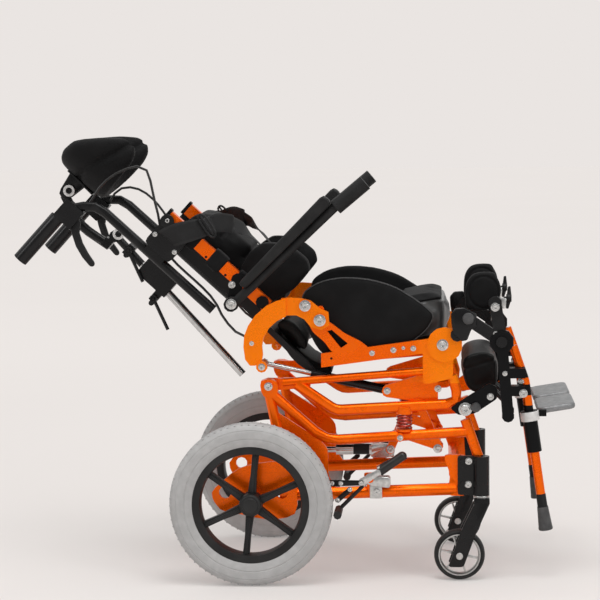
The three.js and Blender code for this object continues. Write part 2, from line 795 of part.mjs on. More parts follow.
function seatSide(side) {
  const y = side * frameOffset;
  const railY = side * railOffset;
  const upper = tube([at(seatUpperRearX, seatUpperRearZ, y), at(seatUpperFrontX, seatUpperFrontZ, y)],
    seatUpperRadius);
  const lower = tube([
    at(seatLowerRearX, seatLowerRearZ, y), at(seatBendX, seatBendZ, y), at(seatLowerFrontX,
      seatLowerFrontZ, y),
    at(seatFrontTopX, seatFrontTopZ, y),
  ], seatLowerRadius, baseBend / 2);
  const support = plate([
    [supportX, seatUpperFrontZ - railHeight], [supportX + supportWidth, seatUpperFrontZ - railHeight / 2],
    [supportX + supportWidth, railZ(supportX + supportWidth)], [supportX, railZ(supportX)],
  ], seatUpperRadius, railY, railThickness);
  const rail = plate([
    [seatRearX - railHeight / 4, seatRearZ - railHeight / 2], [seatRearX - railHeight / 4,
      seatRearZ + railHeight / 2],
    [noseX, railZ(noseX) + railHeight / 2], [noseX, railZ(noseX) - railHeight / 2],
  ], 0, railY, railThickness);
  const riser = plate(spread(riserShares, riserReach, reclineX, reclineZ, riserTall),
    pivotBossRadius / 3, railY, railThickness);
  const window = plate(spread(riserWindowShares, riserReach, reclineX, reclineZ, riserTall), 0, railY,
    railThickness * 2);
  const boss = pin(reclineX, reclineZ, railY - railThickness / 2, railY + railThickness / 2,
    pivotBossRadius);
  const pivot = join(
    pin(reclineX, reclineZ, railY, side * (hookInner + hookThickness + gap), pivotPinRadius),
    pin(reclineX, reclineZ, side * (hookInner + hookThickness + gap),
      side * (hookInner + hookThickness + gap + boltHead * 1.5), pivotPinRadius + boltHead / 2, 6),
  );
  const nose = pin(noseX, noseZ, railY - railThickness / 2, side * (railOffset + railThickness),
    noseRadius, tyreSteps / 2);
  const strut = plate(spread(strutShares, strutReach, strutX, strutZ), springLugRadius / 2,
    side * (frameOffset + seatLowerRadius + strutDepth / 2 - overrun), strutDepth);
  const hingeLugY = side * (frameOffset - bracketDepth / 2 - lugClear - lugDepth / 2);
  const hingeLug = plate([
    [hingeX - springLugRadius * 1.3, hingeZ - springLugRadius * 1.3], [seatLowerRearX,
      seatLowerRearZ - seatLowerRadius],
    [seatLowerRearX + railHeight, seatLowerRearZ - seatUpperRadius], [seatLowerRearX + railHeight,
    seatLowerRearZ + seatUpperRadius],
    [hingeX - springLugRadius * 1.3, hingeZ + springLugRadius * 1.3],
  ], springLugRadius, hingeLugY, lugDepth);
  const hingeHole = bore(hingeX, hingeZ, hingeLugY - lugDepth, hingeLugY + lugDepth, hingePinRadius);
  const hingeStep = plate([
    [seatUpperRearX, seatUpperRearZ - seatUpperRadius], [seatLowerRearX + railHeight,
      seatUpperRearZ - seatUpperRadius],
    [seatLowerRearX + railHeight, seatUpperRearZ + seatUpperRadius], [seatUpperRearX,
    seatUpperRearZ + seatUpperRadius],
  ], 0, side * (frameOffset - seatUpperRadius), seatUpperRadius * 1.5);
  const springLug = plate([
    [springLugX - springLugRadius, springLugZ - springLugRadius], [supportX + supportWidth / 2,
      seatLowerZ(supportX)],
    [supportX + supportWidth / 2, seatUpperFrontZ], [springLugX - springLugRadius,
    springLugZ + springLugRadius],
  ], springLugRadius, side * springLugY, springLugDepth);
  const springPin = pin(springLugX, springLugZ, side * springLugY,
    side * (reclineSpringY + springEyeDepth / 2 + gap),
    springPinRadius + overrun);
  const liftBoss = pin(liftX, liftZ, side * (liftBarY + liftBarDepth / 2 + gap), y, liftBossRadius);
  const cup = post(bumperX, y, seatLowerZ(bumperX), seatLowerZ(bumperX) - seatLowerRadius - bumperCupRise,
    bumperCupRadius);
  const body = join(upper, lower, support, rail, cut(riser, window), boss, pivot, nose, strut, hingeLug,
    hingeStep);
  return cut(join(body, springLug, springPin, liftBoss, cup), hingeHole);
}

// Hook plate, spring and bolt sizes that the seat sides are set against
const hookInner = railOffset + railThickness / 2 + lugClear;
const hookThickness = 8;
const springEyeDepth = 12;
const springPinRadius = 5;
const springClear = 8;
const springLugY = frameOffset - seatLowerRadius - springLugDepth / 2 + overrun / 2;
const reclineSpringY = springLugY - springLugDepth / 2 - springEyeDepth / 2 - springClear;

for (const side of [right, left]) {
  piece(`seat_side_${sideName(side)}`, seatSide(side), orange);
}

// Bumper springs: one unbroken wire in open curls between the base and the seat frame
const wireRadius = 2.2;
const wireSides = 5;
const curlSteps = 8;
const curls = 4;

const springLow = upperTubeZ(bumperX) + baseUpperRadius + bumperCupRise + gap;
const springHigh = seatLowerZ(bumperX) - seatLowerRadius - bumperCupRise - gap;
const curlRadius = bumperCupRadius - wireRadius;

function coil() {
  const steps = curls * curlSteps;
  const rise = springHigh - springLow - 2 * wireRadius;
  const stations = [];
  for (let i = 0; i <= steps; i += 1) {
    const turn = (2 * Math.PI * i) / curlSteps;
    stations.push(new THREE.Vector3(curlRadius * Math.cos(turn), curlRadius * Math.sin(turn),
      (rise * i) / steps));
  }
  let least = Infinity;
  stations.forEach((a, i) => stations.slice(i + curlSteps - 1).forEach((b) => {
    least = Math.min(least, a.distanceTo(b) - 2 * wireRadius);
  }));
  const corners = [];
  stations.forEach((centre, i) => {
    const turn = (2 * Math.PI * i) / curlSteps;
    for (let j = 0; j < wireSides; j += 1) {
      const around = (2 * Math.PI * j) / wireSides;
      const radius = curlRadius + wireRadius * Math.cos(around);
      corners.push(radius * Math.cos(turn), radius * Math.sin(turn),
        centre.z + wireRadius * Math.sin(around));
    }
  });
  const faces = [];
  for (let i = 0; i < steps; i += 1) {
    for (let j = 0; j < wireSides; j += 1) {
      const next = (j + 1) % wireSides;
      const [a, b] = [i * wireSides + j, i * wireSides + next];
      const [c, d] = [a + wireSides, b + wireSides];
      faces.push(a, b, c, b, d, c);
    }
  }
  for (let j = 1; j < wireSides - 1; j += 1) {
    faces.push(0, j + 1, j);
    faces.push(steps * wireSides, steps * wireSides + j, steps * wireSides + j + 1);
  }
  const geometry = new THREE.BufferGeometry();
  geometry.setAttribute('position', new THREE.Float32BufferAttribute(corners, 3));
  geometry.setIndex(faces);
  return { body: solid(geometry), least };
}

for (const side of [right, left]) {
  const { body, least } = coil();
  const spring = piece(`bumper_spring_${sideName(side)}`, body, redSpring);
  spring.position.set(bumperX, side * frameOffset, springLow + wireRadius);
  console.log(`bumper_spring_${sideName(side)}: least gap between curls ${least.toFixed(2)} mm`);
}

// Tilt crank: a shaft through the base sides, two arms for the lift link and lugs for the gas spring
const shaftRadius = 9;
const armY = 114;
const armDepth = 8;
const armRadius = 10;

const tiltLugDepth = 6;
const tiltLugRadius = 9;
const linkRodRadius = 5;

// A flat arm with round ends between two points of the side plane
function arm(xA, zA, xB, zB, radius, y, depth) {
  const angle = Math.atan2(zB - zA, xB - xA);
  const across = [-Math.sin(angle) * radius * 0.9, Math.cos(angle) * radius * 0.9];
  const web = plate([
    [xA + across[0], zA + across[1]], [xB + across[0], zB + across[1]],
    [xB - across[0], zB - across[1]], [xA - across[0], zA - across[1]],
  ], 0, y, depth);
  const ends = [[xA, zA], [xB, zB]].map(([x, z]) => pin(x, z, y - depth / 2, y + depth / 2, radius));
  return join(web, ends);
}

function tiltCrank() {
  const inside = frameOffset - baseLowerRadius - overrun;
  const outside = frameOffset + baseUpperRadius + gap;
  const shaft = pin(crankX, crankZ, -inside, inside, shaftRadius);
  const ends = pin(crankX, crankZ, -outside - boltHead, outside + boltHead, shaftPinRadius);
  const parts = [shaft, ends];
  for (const side of [right, left]) {
    parts.push(pin(crankX, crankZ, side * outside, side * (outside + boltHead),
      shaftPinRadius + boltHead * 0.75));
    parts.push(arm(crankX, crankZ, crankTipX, crankTipZ, armRadius, side * armY, armDepth));
    parts.push(arm(crankX, crankZ, tiltLugX, tiltLugZ, tiltLugRadius,
      side * (tiltEyeDepth / 2 + gap + tiltLugDepth / 2), tiltLugDepth));
  }
  return cut(join(parts), bore(crankTipX, crankTipZ, -frameOffset, frameOffset, linkRodRadius));
}
piece('tilt_crank', tiltCrank(), orange);

// Lift link: a rod through the crank arms and a flat bar at each side, up to the seat frame's bosses
function liftLink() {
  const reach = liftBarY + liftBarDepth / 2;
  const parts = [pin(crankTipX, crankTipZ, -reach, reach, linkRodRadius)];
  for (const side of [right, left]) {
    parts.push(arm(crankTipX, crankTipZ, liftX, liftZ, armRadius * 0.9, side * liftBarY, liftBarDepth));
  }
  return join(parts);
}
piece('tilt_lift_link', liftLink(), silver);

// Tilt gas spring: the body slides on the rod, and its flat head lies between the crank's lugs
const tiltBodyRadius = 11;
const tiltBodyStart = 152;
const tiltHeadStart = 224;
const tiltHeadHeight = 28;

function tiltSpringBody() {
  const slope = (tiltLugZ - tiltPivotZ) / (tiltLugX - tiltPivotX);
  const along = (x) => at(x, tiltPivotZ + (x - tiltPivotX) * slope);
  const body = tube([along(tiltBodyStart), along(tiltHeadStart)], tiltBodyRadius, 0, roundSides);
  const head = plate([
    [tiltHeadStart - overrun, tiltLugZ - tiltHeadHeight * 0.6], [tiltLugX, tiltLugZ - tiltHeadHeight * 0.6],
    [tiltLugX + tiltEyeRadius, tiltLugZ - tiltEyeRadius], [tiltLugX + tiltEyeRadius,
    tiltLugZ + tiltEyeRadius],
    [tiltHeadStart - overrun, tiltLugZ + tiltHeadHeight * 0.4],
  ], tiltEyeRadius / 2, 0, tiltEyeDepth);
  const hole = tube([along(tiltBodyStart - overrun), along(tiltRodEnd + tiltRodRadius)],
    tiltRodRadius + gap);
  return cut(join(body, head), hole);
}
piece('tilt_spring_body', tiltSpringBody(), black);

// Seat pan between the rails, with a rolled front rim
const panThickness = 6;
const panFrontRise = 10;
const panStart = 12;
const panHalfWidth = railOffset - railThickness / 2 - gap;
const pan = join(
  block(panStart, seatLength, -panHalfWidth, panHalfWidth, -panThickness / 2, panThickness / 2),
  block(seatLength - panThickness, seatLength, -panHalfWidth, panHalfWidth, -panFrontRise,
  panThickness / 2),
);
piece('seat_pan', pan, black, seatFrame);

// Seat cushion and the padded guards beside it
const cushionLength = 262;
const cushionHeight = 86;
const cushionCrown = 8;
const cushionPull = 6;
const cushionStart = -14;
const guardThickness = 20;
const guardClear = 6;
const guardOffset = panHalfWidth - guardThickness / 2 - guardClear;
const cushionWidth = 2 * (guardOffset - guardThickness);
const guardRim = 6;
const guardReach = 218;
const guardShares = [
  [-0.13, 0.57], [-0.01, 0.67], [0.16, 0.7], [0.33, 0.69], [0.52, 0.64], [0.72, 0.54], [0.91, 0.38],
  [1, 0.27], [0.99, 0.21], [0.92, 0.13], [0.83, 0.07], [0.7, 0.0152], [0.02, 0.0152], [-0.12, 0.3],
];

const seatCushion = piece('seat_cushion', cushion({
  length: cushionLength, width: cushionWidth, height: cushionHeight, crown: cushionCrown, pull: cushionPull,
  channelDepth: cushionCrown / 2, channelShares: [-0.38, 0.38], rows: 12, columns: 8,
}), fabric, seatFrame);
seatCushion.position.set(cushionStart + cushionLength / 2, 0, panThickness / 2 + gap + cushionHeight / 2);

for (const side of [right, left]) {
  const guard = slab(spread(guardShares, guardReach), 0, side * guardOffset, guardThickness, guardRim);
  piece(`seat_guard_${sideName(side)}`, guard, fabric, seatFrame);
}

// Hook plates: the curved orange plates that carry the back, with the lug for the recline gas spring
const hookReach = 150;
const hookStep = 6;
const hookRearShares = [
  [-0.43, 0.28], [-0.55, 0.25], [-0.68, 0.19], [-0.83, 0.06], [-0.92, -0.07], [-0.97, -0.2], [-0.98, -0.34],
  [-0.96, -0.5], [-0.9, -0.58], [-0.83, -0.58], [-0.75, -0.54], [-0.73, -0.44], [-0.74, -0.33], [-0.72,
  -0.22],
  [-0.65, -0.1], [-0.55, -0.01], [-0.43, 0.05],
];
const hookFrontShares = [
  [-0.49, 0.28], [-0.38, 0.29], [-0.25, 0.28], [-0.12, 0.25], [0, 0.15], [0.11, 0.1], [0.12, -0.07], [0.02,
    -0.13],
  [-0.12, -0.09], [-0.2, 0.01], [-0.3, 0.06], [-0.42, 0.06], [-0.49, 0.04],
];
const hookBoltShare = 0.187;
const hookLugBack = 112;
const hookLugDrop = 89;
const hookLugX = reclineX - hookLugBack;
const hookLugZ = reclineZ - hookLugDrop;
const hookLugRadius = 11;

function hookPlate(side) {
  const front = plate(spread(hookFrontShares, hookReach, reclineX, reclineZ), 0,
    side * (hookInner + hookThickness / 2), hookThickness);
  const rear = plate(spread(hookRearShares, hookReach, reclineX, reclineZ), 0,
    side * (hookInner + hookStep + hookThickness / 2), hookThickness);
  const hole = bore(reclineX, reclineZ, side * (hookInner - overrun),
    side * (hookInner + hookThickness * 2),
    pivotPinRadius);
  const bolt = pin(reclineX - hookBoltShare * hookReach, reclineZ + hookBoltShare * hookReach,
    side * (hookInner + hookThickness / 2), side * (hookInner + hookThickness + boltHead * 1.5),
    pivotPinRadius + boltHead / 2, 6);
  const inner = reclineSpringY + springEyeDepth / 2 + lugClear;
  const lug = join(
    pin(hookLugX, hookLugZ, side * (hookInner + hookStep),
    side * (hookInner + hookStep + hookThickness + boltHead),
      hookLugRadius),
    pin(hookLugX, hookLugZ, side * inner, side * (hookInner + hookStep + hookThickness), springPinRadius),
  );
  return cut(join(front, rear, lug, bolt), hole);
}

for (const side of [right, left]) {
  piece(`hook_plate_${sideName(side)}`, hookPlate(side), orange);
}

// Recline gas spring on the right side: the body turns on the seat frame, the rod ends at the hook's lug
const reclineBodyRadius = 9;
const reclineRodRadius = 5;
const reclineBodyShare = 0.62;
const springEyeRadius = 9;

const springFront = at(springLugX, springLugZ, right * reclineSpringY);
const springRear = at(hookLugX, hookLugZ, right * reclineSpringY);

// A point on the recline spring's line, at a share of the way from its front eye to its rear eye
function alongSpring(share) {
  return springFront.clone().lerp(springRear, share);
}

function springEye(place) {
  const half = springEyeDepth / 2;
  return pin(place.x, place.z, place.y - half, place.y + half, springEyeRadius);
}
const bodyEnd = springEyeRadius / springFront.distanceTo(springRear);
const reclineBody = cut(
  tube([alongSpring(bodyEnd * 0.8), alongSpring(reclineBodyShare)], reclineBodyRadius, 0, roundSides),
  tube([alongSpring(bodyEnd * 3), alongSpring(reclineBodyShare + bodyEnd)], reclineRodRadius + gap),
);
piece('recline_spring_body', join(reclineBody, springEye(springFront)), black);
const reclineRod = tube([alongSpring(bodyEnd * 3.2), alongSpring(1 - bodyEnd * 0.7)], reclineRodRadius);
piece('recline_spring_rod', join(reclineRod, springEye(springRear)), silver);

// From here the back is drawn upright: its z runs up the canes and its x points to the sitter
const caneX = -50;
const caneWidth = 25;
const caneDepth = 20;
const caneTop = 350;
const caneFoot = 92;
const caneCapRise = 6;
const caneOffset = 160;
const handleX = -127;
const handleRadius = 10;
const handleFoot = 165;
const gripZ = 508;
const handleBendDrop = 38;
const handleBendZ = gripZ - handleBendDrop;
const gripStart = -196;
const gripEnd = -305;
const gripRadius = 15;
const handleBend = 50;
const tiePlateDepth = 7;
const tieLow = 288;
const tieHigh = 352;
const tieStart = -116;
const tieDiscRadius = 10;
const armBracketRadius = 13;
const armBracketZ = 168;
const armPivotX = -90;
const armPivotZ = 146;
const armPinRadius = 7;
const armInner = 181;
const armDepthY = 30;

function backCane(side) {
  const y = side * caneOffset;
  const bar = block(caneX - caneWidth / 2, caneX + caneWidth / 2, y - caneDepth / 2, y + caneDepth / 2,
    caneFoot, caneTop);
  const cap = block(caneX - caneWidth * 0.6, caneX + caneWidth * 0.6, y - caneDepth / 2, y + caneDepth / 2,
    caneTop,
    caneTop + caneCapRise);
  const bossEnd = side * (hookInner + hookStep - gap);
  const boss = pin(caneX, caneFoot + caneWidth / 2, y, bossEnd, caneWidth / 2);
  const bracketY = side * (caneOffset + caneDepth / 2 + tiePlateDepth / 2 - gap);
  const bracket = arm(armPivotX, armPivotZ, caneX, armBracketZ, armBracketRadius, bracketY, tiePlateDepth);
  const armEnd = armInner + armDepthY + gap;
  const pivot = join(
    pin(armPivotX, armPivotZ, bracketY, side * armEnd, armPinRadius),
    pin(armPivotX, armPivotZ, side * armEnd, side * (armEnd + boltHead), armPinRadius + boltHead),
  );
  return join(bar, cap, boss, bracket, pivot);
}

function pushHandle(side) {
  const y = side * caneOffset;
  const bar = tube([
    at(handleX, handleFoot, y), at(handleX, handleBendZ, y), at(handleX - handleBend, gripZ, y),
      at(gripEnd, gripZ, y),
  ], handleRadius, handleBend);
  const grip = tube([at(gripStart, gripZ, y), at(gripEnd - overrun, gripZ, y)], gripRadius, 0, roundSides);
  const tieY = side * (caneOffset + caneDepth / 2 + gap + tiePlateDepth / 2);
  const tie = plate([[tieStart, tieLow], [caneX, tieLow], [caneX, tieHigh], [tieStart, tieHigh]],
    handleRadius, tieY,
    tiePlateDepth);
  const tieDisc = pin(caneX - handleRadius, tieHigh - tieDiscRadius / 2, tieY, tieY + side * tiePlateDepth,
    tieDiscRadius);
  const tieWeb = block(handleX, tieStart + handleRadius, y, tieY, tieLow + handleRadius,
    tieHigh - handleRadius);
  const housing = block(gripStart, gripStart + leverHousingLength, y - gripRadius, y + gripRadius,
    gripZ - leverHousing,
    gripZ + gripRadius * 0.6);
  const slot = block(gripStart - overrun, gripStart + leverHousingLength - leverThickness,
    y - leverThickness / 2 - gap,
    y + leverThickness / 2 + gap, gripZ - leverHousing - overrun, gripZ - handleRadius - overrun);
  const leverPin = pin(leverX, leverZ, y - gripRadius, y + gripRadius, leverPinRadius);
  return join(cut(join(bar, grip, housing), slot), tie, tieDisc, tieWeb, leverPin);
}

// Release levers under the grips
const leverX = -178;
const leverDrop = 26;
const leverZ = gripZ - leverDrop;
const leverPinRadius = 3;
const leverHousing = 34;
const leverHousingLength = 42;
const leverThickness = 8;
const leverReach = 105;
const leverShares = [[0.12, 0.02], [0.05, -0.13], [-0.12, -0.45], [-0.35, -0.85], [-0.46, -0.82], [-0.3,
  -0.45],
  [-0.18, -0.1], [-0.1, 0.08], [0.05, 0.1]];

function brakeLever(side) {
  const y = side * caneOffset;
  const blade = plate(spread(leverShares, leverReach, leverX, leverZ), leverPinRadius, y, leverThickness);
  return cut(blade, bore(leverX, leverZ, y - leverThickness, y + leverThickness, leverPinRadius));
}

for (const side of [right, left]) {
  piece(`back_cane_${sideName(side)}`, backCane(side), orange, backFrame);
  piece(`push_handle_${sideName(side)}`, pushHandle(side), black, backFrame);
  piece(`brake_lever_${sideName(side)}`, brakeLever(side), black, backFrame);
}

// Release cables, held from the lever housing to the foot of the handle
const cableRadius = 2.5;
const cableSides = 6;
const cableReach = 100;
const cableShares = [
  [-1.453, 4.8, 1.465], [-1.28, 4.82, 1.465], [-0.95, 4.87, 1.465], [-0.62, 4.82, 1.465], [-0.32, 4.68,
    1.465],
  [-0.14, 4.52, 1.46], [-0.16, 4.36, 1.42], [-0.3, 4.16, 1.38], [-0.48, 3.92, 1.36], [-0.66, 3.66, 1.34],
  [-0.86, 3.42, 1.33], [-1.02, 3.2, 1.33], [-1.1, 2.96, 1.33], [-1.12, 2.7, 1.33], [-1.12, 2.44, 1.33],
  [-1.12, 2.18, 1.33], [-1.13, 1.92, 1.34], [-1.18, 1.66, 1.38], [-1.25, 1.46, 1.46], [-1.29, 1.26, 1.5],
  [-1.3, 1.08, 1.54], [-1.28, 0.94, 1.6], [-1.18, 0.8, 1.72], [-1.16, 0.74, 1.805],
];

const leftCableShares = [
  [-1.453, 4.8, 1.465], [-1.3, 4.83, 1.465], [-1.15, 4.82, 1.465], [-1.02, 4.74, 1.465], [-0.92, 4.62,
    1.46],
  [-0.85, 4.46, 1.44], [-0.82, 4.28, 1.41], [-0.82, 4.08, 1.38], [-0.85, 3.88, 1.36], [-0.9, 3.66, 1.34],
  [-0.96, 3.42, 1.33], ...cableShares.slice(11),
];

function cable(side) {
  const shares = side === right ? cableShares : leftCableShares;
  const route = new THREE.CatmullRomCurve3(
    shares.map(([x, z, y]) => at(x * cableReach, z * cableReach, side * y * cableReach)),
  );
  return sweep(route.getSpacedPoints(26), cableRadius, cableSides);
}

for (const side of [right, left]) {
  piece(`release_cable_${sideName(side)}`, cable(side), rubber, backFrame);
}

// Back shell, back cushion with side pads, and the shoulder straps on them
const shellFront = -86;
const shellThickness = 10;
const shellLow = -78;
const shellHigh = 326;
const shellClear = 7;
const shellHalfWidth = reclineSpringY - reclineBodyRadius - shellClear;
const shellWing = 26;
const earHeight = 24;
const earShares = [0.65, 0.87];
const backCushionLength = 268;
const backCushionHeight = 74;
const backCushionLow = 62;
const sidePadThickness = 34;
const sidePadOffset = shellHalfWidth + shellThickness / 2;
const sidePadReach = 160;
const sidePadShares = [
  [-0.4, 0.1], [0.05, -0.02], [0.36, 0], [0.44, 0.12], [0.43, 0.3], [0.35, 0.52], [0.22, 0.68], [0.02,
    0.74],
  [-0.2, 0.7], [-0.4, 0.6],
];
const sidePadLow = 72;

const shellProfile = [
  [shellFront - shellThickness * 1.4, shellLow], [shellFront, shellLow], [shellFront + shellThickness / 2,
    shellHigh * 0.4],
  [shellFront, shellHigh], [shellFront - shellThickness, shellHigh], [shellFront - shellThickness / 2,
  shellHigh * 0.4],
];
const shell = join(
  plate(shellProfile, shellThickness / 3, 0, shellHalfWidth * 2),
  block(shellFront - shellThickness / 2, shellFront + shellWing, -shellHalfWidth,
  -shellHalfWidth + shellThickness / 2,
    backCushionLow + shellWing, shellHigh - shellWing),
  block(shellFront - shellThickness / 2, shellFront + shellWing, shellHalfWidth - shellThickness / 2,
  shellHalfWidth,
    backCushionLow + shellWing, shellHigh - shellWing),
);
const shellEars = [right, left].flatMap((side) => earShares.map((share) => block(
  shellFront + shellWing / 2, caneX, side * (shellHalfWidth - shellThickness / 2),
  side * (caneOffset - caneDepth / 2 - gap),
  share * shellHigh, share * shellHigh + earHeight)));
piece('back_shell', join(shell, shellEars), black, backFrame);

const backFill = cushion({
  length: backCushionLength, width: shellHalfWidth * 2 - shellThickness - 2 * gap,
    height: backCushionHeight,
  crown: cushionCrown, pull: cushionPull, channelDepth: cushionCrown, channelShares: [-0.38, 0.38],
  rows: 10, columns: 8,
});
const turnUp = new THREE.Matrix4().makeRotationY(Math.PI / 2);
const backPlace = new THREE.Matrix4().makeTranslation(
  shellFront + shellThickness + gap + backCushionHeight / 2, 0, backCushionLow + backCushionLength / 2,
);
const backCushionBody = solid(geometryOf(backFill).applyMatrix4(turnUp).applyMatrix4(backPlace));
const sidePads = [right, left].map((side) => slab(spread(sidePadShares, sidePadReach, 0, sidePadLow), 0,
  side * sidePadOffset, sidePadThickness, guardRim));
const shellRoom = [
  block(shellFront - shellThickness * 2, shellFront + shellWing + gap, -shellHalfWidth - gap,
    -shellHalfWidth + shellThickness / 2 + gap, shellLow, shellHigh),
  block(shellFront - shellThickness * 2, shellFront + shellWing + gap,
  shellHalfWidth - shellThickness / 2 - gap,
    shellHalfWidth + gap, shellLow, shellHigh),
];
piece('back_cushion', cut(join(backCushionBody, sidePads), shellRoom), fabric, backFrame);

// Headrest: a mount block, the stem that slides through it, a curved arm and the winged pad
const stemRadiusHead = 8;
const stemLean = 0.096;
const stemFootX = -206;
const stemFootZ = 37;
const mountLow = 257;
const mountTop = 332;
const mountHalf = 20;
const mountArmDepth = 16;
const stemTop = 412;
const ringRadius = 12;
const ringDepth = 10;
const headArmRadius = 10;
const headRingX = -172;
const headRingZ = 543;
const headMidX = -99;
const headMidZ = 536;

function stemAt(z) {
  return at(stemFootX + (z - stemFootZ) * stemLean, z);
}

function headrestMount() {
  const { x } = stemAt((mountLow + mountTop) / 2);
  const body = block(x - mountHalf * 0.7, x + mountHalf * 1.4, -mountHalf, mountHalf, mountLow, mountTop);
  const reach = block(x, shellFront - shellThickness - gap, -mountHalf, mountHalf,
    mountTop - mountArmDepth * 2, mountTop - mountArmDepth);
  const foot = block(shellFront - shellThickness - gap - panThickness, shellFront - shellThickness - gap,
    -mountHalf * 1.6,
    mountHalf * 1.6, mountLow, shellHigh - panThickness);
  const clamp = clampAt(clampLow);
  const ear = block(clamp.x - clampHubRadius, x, -mountHalf, mountHalf / 2, clamp.z - clampHubRadius,
    clamp.z + clampHubRadius);
  const earPin = pin(clamp.x, clamp.z, -mountHalf + overrun, -mountHalf - clampPinReach, clampPinRadius);
  const hole = tube([stemAt(mountLow - mountHalf), stemAt(mountTop + mountHalf)], stemRadiusHead + gap, 0,
    roundSides);
  return cut(join(body, reach, foot, ear, earPin), hole);
}

// Clamp levers: one on the stem's collar and one on the mount's ear, each a hub with a wing and a long
// handle
const clampPinRadius = 4;
const clampPinReach = 12;
const clampHubRadius = 8;
const clampHandleX = -27;
const clampHandleZ = -63;
const clampTipRadius = 3.5;
const clampHigh = [2, 372];
const clampLow = [-26, 271];

function clampAt([shift, z]) {
  return at(stemAt(z).x + shift, z, -mountHalf - gap);
}

function clampLever(place) {
  const { x, y, z } = clampAt(place);
  const hub = pin(x, z, y, y - clampPinReach + gap * 2, clampHubRadius);
  const neck = at(x + clampHandleX / 4, z + clampHandleZ / 4, y - clampPinReach / 2);
  const handle = tube([at(x, z, y - clampPinReach / 2), neck, at(x + clampHandleX, z + clampHandleZ,
    y - clampPinReach / 2)],
    clampTipRadius, 0, cableSides);
  const wing = pin(x + clampHandleX / 3, z - clampHubRadius / 3, y - gap, y - clampPinReach + gap * 3,
    clampHubRadius * 0.7);
  const hole = bore(x, z, y + overrun, y - clampPinReach * 2, clampPinRadius);
  return cut(join(hub, handle, wing), hole);
}

const stemClamp = clampAt(clampHigh);
const stem = join(
  tube([stemAt(stemFootZ), stemAt(stemTop - ringRadius - gap)], stemRadiusHead, 0, roundSides),
  block(stemAt(stemTop).x - stemRadiusHead, stemAt(stemTop).x + stemRadiusHead / 2, -ringDepth / 2,
  ringDepth / 2,
    stemTop - ringRadius * 2, stemTop),
  block(stemClamp.x - clampHubRadius * 1.5, stemClamp.x + clampHubRadius * 1.5, -mountHalf, mountHalf / 2,
    stemClamp.z - clampHubRadius, stemClamp.z + clampHubRadius),
  pin(stemClamp.x, stemClamp.z, -mountHalf + overrun, -mountHalf - clampPinReach, clampPinRadius),
  pin(stemAt(stemTop).x, stemTop, -ringDepth / 2, ringDepth / 2, ringRadius),
);
const stemPin = pin(stemAt(stemTop).x, stemTop, -ringDepth * 2 - gap, ringDepth * 2 + gap, springPinRadius);

// Two cheeks hug the stem's ring, and one rises into the curved arm
function headrestArm() {
  const x = stemAt(stemTop).x;
  const cheeks = [-1, 1].map((hand) => cut(
    pin(x, stemTop, hand * (ringDepth / 2 + gap), hand * (ringDepth * 1.5 + gap), ringRadius),
    bore(x, stemTop, -ringDepth * 3, ringDepth * 3, springPinRadius)));
  const bridge = block(x - ringRadius * 2.6, x - ringRadius - gap * 2, -ringDepth * 1.5 - gap,
    ringDepth * 1.5 + gap,
    stemTop - ringRadius / 2, stemTop + ringRadius);
  const links = [-1, 1].map((hand) => block(x - ringRadius * 2, x - ringRadius * 0.7,
    hand * (ringDepth / 2 + gap),
    hand * (ringDepth * 1.5 + gap), stemTop - ringRadius / 2, stemTop + ringRadius / 2));
  const bend = tube([
    at(x - ringRadius * 2, stemTop), at(headRingX - ringRadius * 2.6, (stemTop + headRingZ) / 2),
    at(headRingX - ringRadius * 0.5, headRingZ),
  ], headArmRadius, handleBend * 1.5);
  const ring = pin(headRingX, headRingZ, -ringDepth / 2, ringDepth / 2, ringRadius);
  const headPin = pin(headRingX, headRingZ, -ringDepth * 2 - gap, ringDepth * 2 + gap, springPinRadius);
  const cheekRoom = [-1, 1].map((hand) => pin(headRingX, headRingZ, hand * (ringDepth / 2),
    hand * ringDepth * 3,
    ringRadius * 1.6));
  return join(cut(join(cheeks, bridge, links, bend), cheekRoom), ring, headPin);
}

const headHalfWidth = 92;
const headThickness = 34;
const headRise = 68;
const headWing = 128;
const headFront = 23;
const headTipDrop = 25;
const headTipShare = 0.14;
const headCentreDrop = 4;

// The pad's middle sheet curls round the head; the wings narrow towards their tips
function headrestPad() {
  const middle = (u, v) => {
    const curl = Math.abs(u) ** 2.2;
    const x = headMidX - headFront + curl * headWing;
    const y = headHalfWidth * Math.sin((u * Math.PI) / 2.3) * 1.05;
    const rise = headRise * Math.max((1 - curl ** 1.5) ** 0.55, headTipShare);
    return at(x, headMidZ - headCentreDrop - headTipDrop * curl + rise * v, y);
  };
  const sheet = (u, v, face) => {
    const step = 0.01;
    const alongU = middle(Math.min(u + step, 1), v).sub(middle(Math.max(u - step, -1), v));
    const alongV = middle(u, Math.min(v + step, 1)).sub(middle(u, Math.max(v - step, -1)));
    const normal = alongU.cross(alongV).normalize();
    return middle(u, v).addScaledVector(normal, face * (headThickness / 2) * fullness(u, v));
  };
  return pad(12, 8, (u, v) => sheet(u, v, 1), (u, v) => sheet(u, v, -1));
}

function headrestPiece() {
  const cheeks = [-1, 1].map((hand) => cut(
    join(
      pin(headRingX, headRingZ, hand * (ringDepth / 2 + gap), hand * (ringDepth * 1.5 + gap), ringRadius),
      block(headRingX, headMidX - headFront + headThickness / 4, hand * (ringDepth / 2 + gap),
        hand * (ringDepth * 1.5 + gap), headRingZ - ringRadius, headRingZ + ringRadius),
    ),
    bore(headRingX, headRingZ, -ringDepth * 3, ringDepth * 3, springPinRadius)));
  return join(headrestPad(), cheeks);
}

